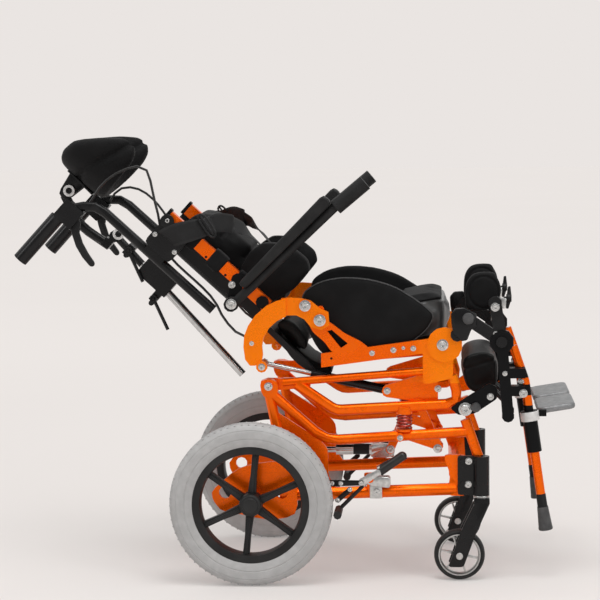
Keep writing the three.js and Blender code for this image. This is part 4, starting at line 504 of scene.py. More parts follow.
def joined(name, pieces):
    bpy.ops.object.select_all(action="DESELECT")
    for piece in pieces:
        piece.select_set(True)
    bpy.context.view_layer.objects.active = pieces[0]
    bpy.ops.object.join()
    pieces[0].name = name
    return pieces[0]


def again(piece, change):
    """Another of the same, with its own mesh, moved or turned by the change."""
    other = piece.copy()
    other.data = piece.data.copy()
    other.data.transform(change)
    bpy.context.scene.collection.objects.link(other)
    return other


def coated(piece, material):
    piece.data.materials.clear()
    piece.data.materials.append(material)
    return piece


def paired(piece, body, *replaced):
    """Rides the right-hand piece on its body and makes its mirror image for the left-hand one."""
    other = again(piece, Matrix.Scale(-1, 4, (0, 1, 0)))
    other.name = piece.name.replace("_right", "_left")
    other.data.flip_normals()
    for one in (piece, other):
        side = one.name.rsplit("_", 1)[1]
        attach(one, body.format(side))
        if replaced:
            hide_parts(*[name.format(side) for name in replaced])
    return piece, other


# The rear wheels
# Twelve-inch solid tyres of grey rubber with a nubbed shoulder, on black nylon wheels with six ribbed spokes.
# The tyre is stretched over the rim; the wheel runs on a bolt through its hub.
grey, place = finish("grey_rubber", {"Specular IOR Level": 0.25})
bloom = place.noise(60).step(0.3, 0.75)
grime = place.noise(9).step(0.4, 0.8)
feed(grey, Base_Color=(0.35 * grime).blend(bloom.blend((0.405, 0.403, 0.402), (0.465, 0.463, 0.462)),
                                           (0.35, 0.348, 0.346)),
     Roughness=0.74 + 0.12 * bloom, Normal=place.noise(1100).bump(0.15, 0.0003))
hub_right = at(0, -230, 1000 * axle.z)
tyre_radius = 1000 * axle.z - 0.2
tyre = turned("rear_tyre_tread_right", [
    (112.3, 15), (112.3, 18.5), (116, 20.5), (121, 22.2), (126, 23), (126.7, 22.4), (128.2, 22.5), (129, 23.4),
    (136, 23.9), (142, 23.3), (142.8, 22.5), (144.2, 22.2), (145, 22.7), (149, 20.6), (152.6, 17), (155, 12),
    (tyre_radius - 0.6, 9.5), (tyre_radius - 1.6, 9), (tyre_radius - 1.6, 7.6), (tyre_radius, 7), (tyre_radius, 1),
    (tyre_radius - 1.6, 0.6),
    (tyre_radius - 1.6, -0.6), (tyre_radius, -1), (tyre_radius, -7), (tyre_radius - 1.6, -7.6),
    (tyre_radius - 1.6, -9), (tyre_radius - 0.6, -9.5), (155, -12), (152.6, -17), (149, -20.6), (145, -22.7),
    (144.2, -22.2), (142.8, -22.5), (142, -23.3), (136, -23.9), (129, -23.4), (128.2, -22.5), (126.7, -22.4),
    (126, -23), (121, -22.2), (116, -20.5), (112.3, -18.5), (112.3, -15)], hub_right, 120)
bpy.ops.object.select_all(action="DESELECT")
bpy.ops.mesh.primitive_cube_add(size=1)
nub = bpy.context.object
nub.data.transform(Matrix.Translation(hub_right + Vector((0.1521, -0.0141, 0)))
                   @ Matrix.Rotation(math.radians(-38), 4, "Y") @ Matrix.Rotation(math.radians(64), 4, "Z")
                   @ Matrix.Diagonal((0.0032, 0.0085, 0.0034, 1)))
shaped(nub, "BEVEL", width=0.0005, segments=1)
spread = []
for hand in (1, -1):
    for count in range(72):
        flip = Matrix.Translation(hub_right) @ Matrix.Scale(hand, 4, (0, 1, 0)) @ Matrix.Translation(-hub_right)
        spin = Matrix.Translation(hub_right) @ Matrix.Rotation(
            math.radians(5 * count + (2.5 if hand < 0 else 0)), 4, "Y") @ Matrix.Translation(-hub_right)
        one = again(nub, spin @ flip)
        if hand < 0:
            one.data.flip_normals()
        spread.append(one)
bpy.data.objects.remove(nub)
tyre = coated(joined("rear_tyre_tread_right", [tyre] + spread), grey)
paired(tyre, "rear_wheel_{}", "rear_tyre_{}")

wheel_black, place = finish("wheel_nylon", {"Specular IOR Level": 0.3})
speck = place.noise(1100, 2.0)
feed(wheel_black, Base_Color=place.noise(22).step(0.3, 0.8).blend((0.010, 0.010, 0.0102), (0.021, 0.021, 0.0212)),
     Roughness=0.40 + 0.14 * speck, Normal=speck.bump(0.22, 0.0003))
rim = turned("rear_rim_right", [
    (97, 14), (98, 17.5), (101, 18.6), (108, 19), (112, 18.6), (113.6, 16.5), (113.4, 14), (110, 12), (104, 9),
    (101, 3), (101, -3), (104, -9), (110, -12), (113.4, -14), (113.6, -16.5), (112, -18.6), (108, -19), (101, -18.6),
    (98, -17.5), (97, -14), (96, -9), (95.4, 0), (96, 9)], hub_right, 120)
hub = turned("hub_right", [
    (0, 23), (8.2, 23), (8.2, 20), (20, 20), (22, 18), (22, -17), (20.5, -21.5), (18, -23.5), (15.6, -24),
    (15, -26.4), (13.6, -27.6), (7, -28), (0, -28)], hub_right, 48)
spoke_half = [(19, 0), (19, 8.2), (60, 5.8), (96, 6.4), (99, 11), (99, 0)]
spoke = plate_of("spoke", [hub_right + Vector((x / 1000, -0.0085, z / 1000)) for x, z in spoke_half[:-1]]
                 + [hub_right + Vector((x / 1000, -0.0085, -z / 1000)) for x, z in reversed(spoke_half[1:-1])],
                 15, 0.0012)
rib = plate_of("rib", [hub_right + Vector((x / 1000, -0.0125, z / 1000)) for x, z in (
    (17, 3.4), (97, 2.4), (97, -2.4), (17, -3.4))], 6, 0.0011)
spoke = joined("spoke", [spoke, rib])
spokes = [again(spoke, Matrix.Translation(hub_right) @ Matrix.Rotation(math.radians(-angle), 4, "Y")
                @ Matrix.Translation(-hub_right)) for angle in (24, 84, 144, 204, 264, 324)]
bpy.data.objects.remove(spoke)
paired(coated(joined("rear_spoked_wheel_right", [rim, hub] + spokes), wheel_black),
       "rear_wheel_{}", "rear_wheel_{}")

# The caster wheels
# Black rubber tyres on bright turned rims with six thin cast spokes, running on an axle bolt in the fork.
caster_low, caster_high = (Vector(corner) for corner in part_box("caster_wheel_right"))
caster = (caster_low + caster_high) / 2
caster_radius = 1000 * caster.z - 0.2
black_tyre, place = finish("caster_rubber", {"Specular IOR Level": 0.35})
bloom = place.noise(70).step(0.3, 0.75)
feed(black_tyre, Base_Color=bloom.blend((0.0075, 0.0075, 0.0075), (0.017, 0.017, 0.017)),
     Roughness=0.52 + 0.15 * bloom, Normal=place.noise(1300).bump(0.15, 0.0003))
ring = turned("caster_tyre_right", [
    (40.4, 8), (40.8, 9.8), (42.4, 11), (44.5, 11.4), (46.6, 10.4), (48.2, 7.5), (caster_radius, 4.6),
    (caster_radius, -4.6), (48.2, -7.5), (46.6, -10.4), (44.5, -11.4), (42.4, -11), (40.8, -9.8), (40.4, -8)], caster, 72)
paired(coated(ring, black_tyre), "caster_wheel_{}", "caster_wheel_{}")
cast, place = finish("cast_rim", {"Metallic": 1.0})
feed(cast, Base_Color=place.noise(150).step(0.3, 0.8).blend((0.50, 0.50, 0.49), (0.68, 0.68, 0.67)),
     Roughness=0.24 + 0.12 * place.noise(400), Normal=place.noise(1500).bump(0.05, 0.0002))
ring = turned("caster_rim", [
    (36.5, 7), (37.6, 9.9), (38.4, 10.6), (40.2, 10.6), (41, 9.4), (40.8, 5), (39, 0), (40.8, -5), (41, -9.4),
    (40.2, -10.6), (38.4, -10.6), (37.6, -9.9), (36.5, -7), (35.6, 0)], caster, 72)
hub = turned("caster_hub", [(4.3, 11), (9, 11), (9.6, 9), (9.6, -9), (9, -11), (4.3, -11)], caster, 36)
spoke = plate_of("spoke", [caster + Vector((x / 1000, -0.004, z / 1000)) for x, z in (
    (8.5, 2.6), (37, 1.7), (37, -1.7), (8.5, -2.6))], 8, 0.0007)
spokes = [again(spoke, Matrix.Translation(caster) @ Matrix.Rotation(math.radians(60 * turn + 12), 4, "Y")
                @ Matrix.Translation(-caster)) for turn in range(6)]
bpy.data.objects.remove(spoke)
paired(coated(joined("caster_rim_right", [ring, hub] + spokes), cast),
       "caster_wheel_{}", "caster_wheel_{}")

# The caster forks
# Two slender blades bent from flat bar hang from a crown under each bright bearing ring, and trail back to the
# axle. A bright bolt holds the wheel between them.
blades = []
for side in (-197.6, -158.4):
    blades.append(plate_of("blade", [at(x, side, z) for x, z in (
        (425, 160), (455, 160), (455, 151), (428, 91), (405, 29), (399, 27.5), (380, 27.5), (376, 30), (402, 103),
        (425, 150))], 5, 0.0012))
crown = plate_of("crown", [at(x, -197, z) for x, z in ((425, 160), (455, 160), (455, 153), (425, 153))], 44, 0.0012)
stem = rod("stem", [at(439.7, -175, 155), at(439.7, -175, 236)], 6.8)
coated(joined("caster_fork_blades_right", blades + [crown, stem]), satin)
paired(bpy.data.objects["caster_fork_blades_right"], "caster_fork_{}", "caster_fork_{}")
bearing = turned("bearing", [(7, 2.6), (15, 2.6), (15.4, 2), (15.4, -2), (15, -2.6), (7, -2.6)], Vector((0, 0, 0)), 40)
bearing.data.transform(Matrix.Translation(at(439.7, -175, 161.2)) @ Matrix.Rotation(math.radians(90), 4, "X"))
bearing.name = "caster_bearing_right"
paired(coated(bearing, cast), "caster_fork_{}")
spindle = turned("caster_bolt_right", [(0, 24.6), (6.2, 24.6), (6.8, 23.8), (6.8, 22.4), (4, 22.2), (4, -22.2),
                                       (6.8, -22.4), (6.8, -23.8), (6.2, -24.6), (0, -24.6)], caster, 24)
paired(coated(spindle, cast), "caster_fork_{}")

# The cloths
# A black knitted cover stretched on the pads, and a smoother coated cloth on the seat's sides.
# Both are woven fine and are seamed, and the knit picks up a little sheen at grazing light.
def knit(name, dark, light, sheen, roughness):
    material, place = finish(name, {"Specular IOR Level": 0.16, "Sheen Weight": sheen, "Sheen Roughness": 0.4})
    thread = 1 / 0.0011 * 2 * math.pi / 2
    loops = (place.part(0) * thread).sine() * (place.part(2) * thread).sine() * (
        0.4 * (place.part(1) * thread).sine() + 1)
    fold = place.noise(24).step(0.3, 0.75)
    fuzz = place.noise(1500, 2.0)
    feed(material, Base_Color=(0.75 * fold + 0.25 * fuzz).blend(dark, light),
         Roughness=roughness + 0.12 * fuzz, Normal=(loops * 0.5 + fuzz * 0.5).bump(0.28, 0.0005))
    return material


knitted = knit("black_knit", (0.0030, 0.0030, 0.0033), (0.0072, 0.0072, 0.0076), 0.03, 0.66)
wipeable = knit("coated_cloth", (0.0032, 0.0032, 0.0034), (0.0080, 0.0080, 0.0079), 0.0, 0.40)
# The piping's light grey stands for the highlight along a guard's edge: a painted highlight.
piping_highlight, place = finish("edge_piping", {"Specular IOR Level": 0.35})
feed(piping_highlight, Base_Color=place.noise(300).step(0.3, 0.8).blend((0.035, 0.035, 0.036), (0.075, 0.075, 0.077)),
     Roughness=0.5 + 0.2 * place.noise(900), Normal=place.noise(1800).bump(0.2, 0.0003))


def blank_of(name, node=None, piece=None):
    """A closed copy of a node's solid, or of a piece, with its corners merged."""
    source = nodes[node] if node else piece
    points = [vertex.co.copy() for vertex in source.data.vertices]
    faces = [list(face.vertices) for face in source.data.polygons]
    blank = drawn_up(name, points, [], faces)
    bpy.ops.object.mode_set(mode="EDIT")
    bpy.ops.mesh.select_all(action="SELECT")
    bpy.ops.mesh.remove_doubles(threshold=0.00005)
    bpy.ops.object.mode_set(mode="OBJECT")
    return blank


def stuffed(blank, name, shrink, cap, grain=0.005, rounds=1):
    """Fills a cover: the blank is remeshed even, taken in, blown up against its own cloth, and smoothed."""
    blank.name = name
    shaped(blank, "REMESH", mode="VOXEL", voxel_size=grain, use_smooth_shade=True)
    shaped(blank, "SMOOTH", factor=0.5, iterations=4)
    for vertex, normal in zip(blank.data.vertices, [tuple(v.normal) for v in blank.data.vertices]):
        vertex.co -= Vector(normal) * shrink
    start = [vertex.co.copy() for vertex in blank.data.vertices]
    bpy.ops.object.select_all(action="DESELECT")
    blank.select_set(True)
    bpy.context.view_layer.objects.active = blank
    filling = blank.modifiers.new("filling", "CLOTH")
    filling.settings.use_pressure = True
    filling.settings.uniform_pressure_force = 4
    filling.settings.effector_weights.gravity = 0
    filling.settings.quality = 5
    for step in range(1, 21):
        bpy.context.scene.frame_set(step)
    bpy.ops.object.modifier_apply(modifier=filling.name)
    bpy.context.scene.frame_set(1)
    for vertex, place_before in zip(blank.data.vertices, start):
        moved = vertex.co - place_before
        if moved.length > cap:
            vertex.co = place_before + moved * (cap / moved.length)
    shaped(blank, "SMOOTH", factor=0.5, iterations=3)
    shaped(blank, "SUBSURF", levels=rounds, render_levels=rounds)
    smoothed(blank, 80)
    return blank


def seamed(piece, distance, depth=0.0022, width=0.0028):
    """Draws a seam into a pad: points near the line where the distance is nothing sink along their normals."""
    normals = [tuple(vertex.normal) for vertex in piece.data.vertices]
    for vertex, normal in zip(piece.data.vertices, normals):
        away = distance(vertex.co)
        if abs(away) < 4 * width:
            vertex.co -= Vector(normal) * depth * math.exp(-(away / width) ** 2)
    piece.data.update()


def piped(name, pad, route, radius=1.3, closed=True):
    """A welt cord laid along a route on a pad's cover."""
    spots = []
    count = len(route)
    for index in range(count if closed else count - 1):
        for share in range(4):
            spots.append(route[index].lerp(route[(index + 1) % count], share / 4))
    spots.append(route[0] if closed else route[-1])
    laid = []
    for spot in spots:
        found, surface, normal, _ = pad.closest_point_on_mesh(spot)
        laid.append(surface + normal * radius / 1000 * 0.5)
    return rod(name, laid, radius, bend=True, sides=3)


def rounded(points, per=6):
    """Points along a smooth closed line through the given ones."""
    line = []
    count = len(points)
    for index in range(count):
        before, start, end, after = (points[(index + step) % count] for step in (-1, 0, 1, 2))
        for share in range(per):
            t = share / per
            line.append(tuple(0.5 * (2 * b + (c - a) * t + (2 * a - 5 * b + 4 * c - d) * t * t
                                     + (3 * b - a - 3 * c + d) * t ** 3)
                              for a, b, c, d in zip(before, start, end, after)))
    return line


def layered(name, line, place, rings):
    """A closed form from one outline taken in ring by ring; each ring is (way sideways, taken in), in millimetres."""
    count = len(line)
    turn = sum(line[i][0] * line[(i + 1) % count][1] - line[(i + 1) % count][0] * line[i][1] for i in range(count))
    hand = 1 if turn > 0 else -1
    inward = []
    for index in range(count):
        (x0, z0), (x1, z1) = line[index - 1], line[(index + 1) % count]
        length = math.hypot(x1 - x0, z1 - z0)
        inward.append((-(z1 - z0) / length * hand, (x1 - x0) / length * hand))
    points = []
    for side, taken in rings:
        points += [place(x + a * taken, side, z + b * taken) for (x, z), (a, b) in zip(line, inward)]
    faces = [list(range(count)), list(range((len(rings) - 1) * count, len(rings) * count))[::-1]]
    for ring in range(len(rings) - 1):
        for index in range(count):
            nxt = (index + 1) % count
            faces.append([ring * count + nxt, ring * count + index, (ring + 1) * count + index,
                          (ring + 1) * count + nxt])
    piece = drawn_up(name, points, [], faces)
    bpy.ops.object.mode_set(mode="EDIT")
    bpy.ops.mesh.select_all(action="SELECT")
    bpy.ops.mesh.normals_make_consistent(inside=False)
    bpy.ops.object.mode_set(mode="OBJECT")
    return piece


def flat_on(origin, direction):
    """How far a place is from the plane through the origin, along the direction."""
    return lambda spot: (spot - origin).dot(direction)


seat_rise = on_seat(0, 0, 1000) - on_seat(0, 0, 0)
back_out = on_back(1000, 0, 0) - on_back(0, 0, 0)
back_rise = on_back(0, 0, 1000) - on_back(0, 0, 0)

# The seat cushion
# A deep foam cushion: a knitted top layer sewn along a low seam to sides of coated, wipeable cloth.
# It lies on the seat pan between the guards.
cushion_line = rounded([(-12, 8), (-14, 46), (-12, 78), (20, 86), (90, 88), (160, 91), (205, 93), (238, 93),
                        (246, 89), (249.5, 79), (249.5, 60), (247, 40), (241, 16), (232, 6), (120, 4), (4, 4)], 4)
cushion = layered("cushion_blank", cushion_line, lambda x, y, z: on_seat(x, y, z), [
    (-126, 16), (-130.4, 9), (-131, 5), (-125, 1.5), (-112, 0), (-60, -1), (0, -1.5), (60, -1), (112, 0),
    (125, 1.5), (131, 5), (130.4, 9), (126, 16)])
cushion = stuffed(cushion, "seat_cushion_cover", 0.003, 0.006)
top_seam = flat_on(on_seat(0, 0, 81), seat_rise)
seamed(cushion, top_seam, 0.003, 0.003)
for along in (78, 160):
    seamed(cushion, lambda spot, along=along: (spot - on_seat(along, 0, 60)).dot(Vector(
        (0.9905, 0, 0.1374))) + (0 if top_seam(spot) > 0.006 else 1), 0.0035, 0.004)
seat_cloth, place = finish("seat_cloth", {"Specular IOR Level": 0.16, "Coat Roughness": 0.3})
height = place.made("ShaderNodeVectorMath", {"operation": "DOT_PRODUCT"}, {0: place, 1: tuple(seat_rise)}, 1)
seam_height = on_seat(0, 0, 81).dot(seat_rise)
coated_below = 1 - height.step(seam_height - 0.001, seam_height + 0.001)
fold = place.noise(18).step(0.3, 0.75)
fuzz = place.noise(1500, 2.0)
stitches = (height - seam_height - 0.004).size().step(0.0012, 0.0004)
# The coated sides' dark grey is partly the cloth's own colour and partly painted sheen of the glossy cloth.
feed(seat_cloth, Base_Color=coated_below.blend(fold.blend((0.004, 0.004, 0.0045), (0.009, 0.009, 0.0095)),
                                               fold.blend((0.040, 0.040, 0.040), (0.072, 0.072, 0.0715))),
     Coat_Weight=0.5 * coated_below,
     Roughness=0.66 - 0.32 * coated_below + 0.1 * fuzz,
     Normal=(fuzz * (1.0 - 0.6 * coated_below) + fold * 0.8 * coated_below + 0.6 * stitches).bump(0.3, 0.0006))
coated(cushion, seat_cloth)
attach(cushion, "seat")
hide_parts("seat_cushion")

# The seat guards
# Thin padded panels between the seat and the rails, covered in knit, with a piped edge whose light grey is a painted
# highlight along the guard's upper edge.
guard_line = rounded([(-28, 124), (-2, 146), (35, 153), (72, 150), (113, 139.5), (157, 118), (198, 83), (218, 59),
                      (216, 46), (201, 28), (181, 15), (153, 3.3), (80, 3.3), (5, 3.3), (-26, 65)])
guard = layered("seat_guard_cover_right", guard_line, lambda x, y, z: on_seat(x, y, z), [
    (-142.6, 7), (-143.6, 2.4), (-146, 0.4), (-149, 0), (-153, 0.2), (-156.4, 1.4), (-158.4, 4), (-160.2, 10),
    (-161.2, 22)])
shaped(guard, "REMESH", mode="VOXEL", voxel_size=0.003, use_smooth_shade=True)
shaped(guard, "SMOOTH", factor=0.5, iterations=6)
smoothed(guard, 80)
coated(guard, knitted)
for one in paired(guard, "seat", "seat_guard_{}"):
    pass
edge_line = [on_seat(x, -157.6, z) for x, z in guard_line[:66]]
piping = coated(piped("guard_piping_right", guard, edge_line[::2], 1.1, closed=False), piping_highlight)
paired(piping, "seat")

# The back cushion
# A foam cushion with two sewn channels and a shaped pad at each side, in knit, on the moulded shell.
pillow = blank_of("back_blank", "back_cushion")
pillow = stuffed(pillow, "back_cushion_cover", 0.003, 0.007)
for up in (130, 190, 250):
    seamed(pillow, lambda spot, up=up: (spot - on_back(0, 0, up)).dot(back_rise)
           + (0 if abs(spot.y) < 0.094 and (spot - on_back(0, 0, 0)).dot(back_out) > -0.02 else 1), 0.004, 0.004)
seamed(pillow, lambda spot: abs(spot.y) - 0.1015 + (0 if (spot - on_back(0, 0, 0)).dot(back_out) > -0.03 else 1),
       0.003, 0.003)
coated(pillow, knitted)
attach(pillow, "back")
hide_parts("back_cushion")

# The lumbar roll and the shell's skirt
# A soft roll in coated cloth fills the gap below the back cushion, and a padded flap closes it under the shell.
roll_line = rounded([(-78, 56), (-60, 58), (-46, 44), (-44, 20), (-52, -8), (-66, -24), (-78, -20), (-81, 10)], 4)
roll = layered("lumbar_roll_blank", roll_line, lambda x, y, z: on_back(x, y, z), [
    (-106, 9), (-108, 4), (-104, 1), (-90, 0), (-45, 0), (0, 0), (45, 0), (90, 0), (104, 1), (108, 4), (106, 9)])
roll = stuffed(roll, "lumbar_roll", 0.004, 0.005)
coated(roll, wipeable)
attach(roll, "back")
tuple(on_back(-81, 0, 10))
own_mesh(roll)
skirt_line = rounded([(-70, 38), (-82, 40), (-100, 4), (-103, -38), (-90, -72), (-70, -92), (-60, -82), (-74, -64),
                      (-82, -34), (-82, -2)], 4)
skirt = layered("shell_skirt_blank", skirt_line, lambda x, y, z: on_back(x, y, z), [
    (-98, 6), (-101, 2.5), (-97, 0.4), (-60, 0), (0, 0), (60, 0), (97, 0.4), (101, 2.5), (98, 6)])
skirt = stuffed(skirt, "shell_skirt", 0.002, 0.003, 0.004)
coated(skirt, wipeable)
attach(skirt, "back")

# The headrest pad
# A winged foam pad in knit: an upper lobe holds the head and a lower one the neck, with a deep seam between them.
# Two cheeks and a bracket behind it turn about the arm's ring.
def along_line(line, reach):
    """The height of a line of (reach, height) corners at a reach."""
    reach = min(max(reach, line[0][0]), line[-1][0])
    for (a, low), (b, high) in zip(line, line[1:]):
        if reach <= b:
            return low + (high - low) * (reach - a) / (b - a)


head_top = [(-140, 588), (-107, 599), (-68, 591), (-12, 547), (3, 530), (21, 512), (30, 498)]
head_bottom = [(-140, 466), (-123, 459), (-72, 458), (-16, 460), (18, 472), (30, 494)]


def head_sheet(u, v, face):
    curl = abs(u) ** 2.2
    out = -122 + 125 * curl
    side = 95 * math.sin(u * math.pi / 2.3)
    high, low = along_line(head_top, out + 22 * curl), along_line(head_bottom, out + 22 * curl)
    full = max(1 - v ** 6, 0) ** 0.5 * max(1 - u ** 10, 0) ** 0.5
    lean = math.atan2(125 * 2.2 * abs(u) ** 1.2 * (1 if u > 0 else -1),
                      96.6 * math.pi / 2.3 * math.cos(u * math.pi / 2.3))
    thick = (17 + 6 * curl) * full * face
    return on_back(out + 4 + thick * math.cos(lean), side - thick * math.sin(lean),
                   (high + low) / 2 + 9 + (high - low - 8) / 2 * v)


columns = 36
rows = 20
points = []
for face in (1, -1):
    for i in range(columns + 1):
        for j in range(rows + 1):
            points.append(head_sheet(-1 + 2 * i / columns, -1 + 2 * j / rows, face))
faces = []
for face in range(2):
    start = face * (columns + 1) * (rows + 1)
    for i in range(columns):
        for j in range(rows):
            a = start + i * (rows + 1) + j
            quad = [a, a + rows + 1, a + rows + 2, a + 1]
            faces.append(quad if face else quad[::-1])
head = drawn_up("head_blank", points, [], faces)
bpy.ops.object.mode_set(mode="EDIT")
bpy.ops.mesh.select_all(action="SELECT")
bpy.ops.mesh.remove_doubles(threshold=0.0003)
bpy.ops.mesh.normals_make_consistent(inside=False)
bpy.ops.object.mode_set(mode="OBJECT")
head = stuffed(head, "headrest_pad_cover", 0.001, 0.008, 0.0045)


def lobe_seam(spot):
    out = (spot - on_back(0, 0, 0)).dot(back_out) * 1000
    up = (spot - on_back(0, 0, 0)).dot(back_rise) * 1000
    steps = [(-150, 541), (-106, 541), (-62, 524), (-32, 511), (10, 500)]
    for (a, low), (b, high) in zip(steps, steps[1:]):
        if out <= b or b == 10:
            share = min(max((out - a) / (b - a), 0), 1)
            return (up - low - share * (high - low)) / 1000
    return 1


seamed(head, lobe_seam, 0.0055, 0.0065)
coated(head, knitted)
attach(head, "headrest_pad")
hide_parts("headrest_pad")
cheek = plate_of("cheek", [on_back(x, -15.3, z) for x, z in (
    (-181, 534), (-184, 543), (-181, 552), (-172, 556), (-150, 560), (-120, 566), (-118, 520), (-150, 526),
    (-172, 530))], 4)
cheek_far = again(cheek, Matrix.Translation((0, 0.0266, 0)))
backing = plate_of("backing", [on_back(x, -28, z) for x, z in ((-138, 500), (-134, 500), (-131, 568), (-135, 568))],
                   56)
bracket = coated(joined("headrest_bracket", [cheek, cheek_far, backing]), satin)
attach(bracket, "headrest_pad")

# The knee pads
# D-shaped foam pads in knit with a rim seam, each on a black swivelling arm with a bright bracket and a wing knob.
knee_line = rounded([(409, 520), (407, 546), (411, 572), (428, 590), (464, 592), (474, 581), (481, 566), (482, 547),
                     (473, 524), (452, 512), (424, 511)])
knee = layered("knee_blank", knee_line, at, [
    (-96, 14), (-96.6, 9), (-99, 3.5), (-104, 0.5), (-112, 0), (-120, 0.5), (-125, 3.5), (-127.4, 9), (-128, 14)])
knee = stuffed(knee, "knee_pad_cover_right", 0.003, 0.005, 0.0035)
knee_middle = at(446, -112, 551)


def knee_rim(spot):
    reach = math.hypot(spot.x - knee_middle.x, (spot.z - knee_middle.z) * 0.93)
    return reach - 0.0285 + (0 if abs(spot.y) > 0.118 or abs(spot.y) < 0.106 else 1)


seamed(knee, knee_rim, 0.0024, 0.0022)
coated(knee, knitted)
for one in paired(knee, "knee_pad_{}", "knee_pad_{}"):
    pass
post_low, post_high = (Vector(corner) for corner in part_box("knee_pad_right"))
arm_block = plate_of("knee_arm", [at(x, -143, z) for x, z in ((459, 517), (473, 517), (473, 531), (459, 531))], 24,
                     0.0015)
collar = turned("knee_collar", [(7.6, 7), (12, 7), (12, -7), (7.6, -7)], Vector((0, 0, 0)), 32)
collar.data.transform(Matrix.Translation(at(466, -150, 524.4)) @ Matrix.Rotation(math.radians(90), 4, "X"))
shank = rod("knee_shank", [at(466, -128, 524), at(466, -150, 524)], 6)
arm_piece = coated(joined("knee_arm_right", [arm_block, collar, shank]), satin)
paired(arm_piece, "knee_pad_{}")
tab = plate_of("knee_tab", [at(x, -137, z) for x, z in ((474, 519), (488, 521), (489, 540), (474, 541))], 18, 0.001)
coated(tab, cast)
tab.name = "knee_tab_right"
paired(tab, "knee_pad_{}")
knob = turned("knob", [(0, 5), (7, 5), (8.5, 3), (8.5, -3), (7, -5), (0, -5)], Vector((0, 0, 0)), 24)
knob.data.transform(Matrix.Translation(at(494, -128, 540)) @ Matrix.Rotation(math.radians(90), 4, "Z"))
wings = [plate_of("wing", [at(x, -131, z) for x, z in ((490, 545), (492, 562), (497, 563), (499, 545))], 6, 0.0012),
         plate_of("wing", [at(x, -131, z) for x, z in ((489, 535), (488, 520), (493, 519), (498, 535))], 6, 0.0012),
         rod("knob_screw", [at(484, -128, 540), at(492, -128, 540)], 3)]
paired(coated(joined("knee_knob_right", [knob] + wings), nylon), "knee_pad_{}")

# The calf pad
# One deep pad across both legs, in coated cloth, on a cross bar with two short arms.
calf_line = rounded([(403, 400), (402, 416), (412, 429), (440, 437), (464, 433), (473, 420), (475, 388), (472, 368),
                     (452, 357), (430, 352), (413, 362), (405, 382)], 5)
calf = layered("calf_blank", calf_line, at, [
    (-128, 16), (-132, 9), (-134.5, 3), (-132, 0.5), (-110, 0), (-60, 0), (0, 0), (60, 0), (110, 0), (132, 0.5),
    (134.5, 3), (132, 9), (128, 16)])
calf = stuffed(calf, "calf_pad_cover", 0.003, 0.006)
seamed(calf, lambda spot: abs(spot.y) - 0.124, 0.003, 0.003)
seamed(calf, flat_on(at(440, 0, 412), Vector((-0.30, 0, 0.954))), 0.003, 0.003)
coated(calf, wipeable)
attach(calf, "legs")
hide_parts("calf_pad")
cross_bar = rod("calf_bar", [at(490, -177, 330), at(490, 177, 330)], 8)
struts = [rod("calf_strut", [at(490, side, 330), at(448, side, 372)], 6) for side in (-67, 67)]
calf_bar = coated(joined("calf_pad_bar", [cross_bar] + struts), satin)
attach(calf_bar, "legs")

# The wraps on the canes
# The back's cover is wrapped round each cane in three bands, which leave two windows of orange lacquer.
bands = []
for low, high, bulge in ((152, 176.5, 1.5), (206, 238, 1.0), (271, 289, 1.2)):
    line = rounded([(-67 - bulge, low + 1), (-68 - bulge, (low + high) / 2), (-67 - bulge, high - 1), (-62, high),
                    (-38, high), (-33 + bulge, high - 1), (-32 + bulge, (low + high) / 2), (-33 + bulge, low + 1),
                    (-38, low), (-62, low)], 3)
    bands.append(layered("band", line, lambda x, y, z: on_back(x, y, z), [
        (-172.6, 5), (-172.8, 1.5), (-170, 0), (-160, 0), (-150, 0), (-146.8, 1.5), (-146.4, 5)]))
wraps = joined("cane_wraps_right", bands)
shaped(wraps, "SUBSURF", levels=1, render_levels=1)
smoothed(wraps, 60)
coated(wraps, knitted)
for one in paired(wraps, "back"):
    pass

# The harness
# Two shoulder straps of black webbing. Each leaves the shell behind the cane, goes round the outside of the cane
# through a bent-wire buckle, and lies down the front of the back cushion to its end.
webbing, place = finish("harness_webbing", {"Specular IOR Level": 0.3})
lay = Value(webbing.node_tree, webbing.node_tree.nodes.new("ShaderNodeUVMap").outputs["UV"])
rib = (lay.part(1) * (2 * math.pi / 0.0016)).sine() * 0.5 + 0.5 * (lay.part(0) * (2 * math.pi / 0.0022)).sine()
selvage = (lay.part(0).size()).step(0.0158, 0.0165)
feed(webbing, Base_Color=(0.5 * place.noise(30).step(0.3, 0.75) + 0.5 * selvage).blend(
         (0.0055, 0.0055, 0.006), (0.014, 0.014, 0.0145)),
     Roughness=0.55 + 0.1 * rib, Normal=(rib * (1 - 0.5 * selvage)).bump(0.3, 0.0005))


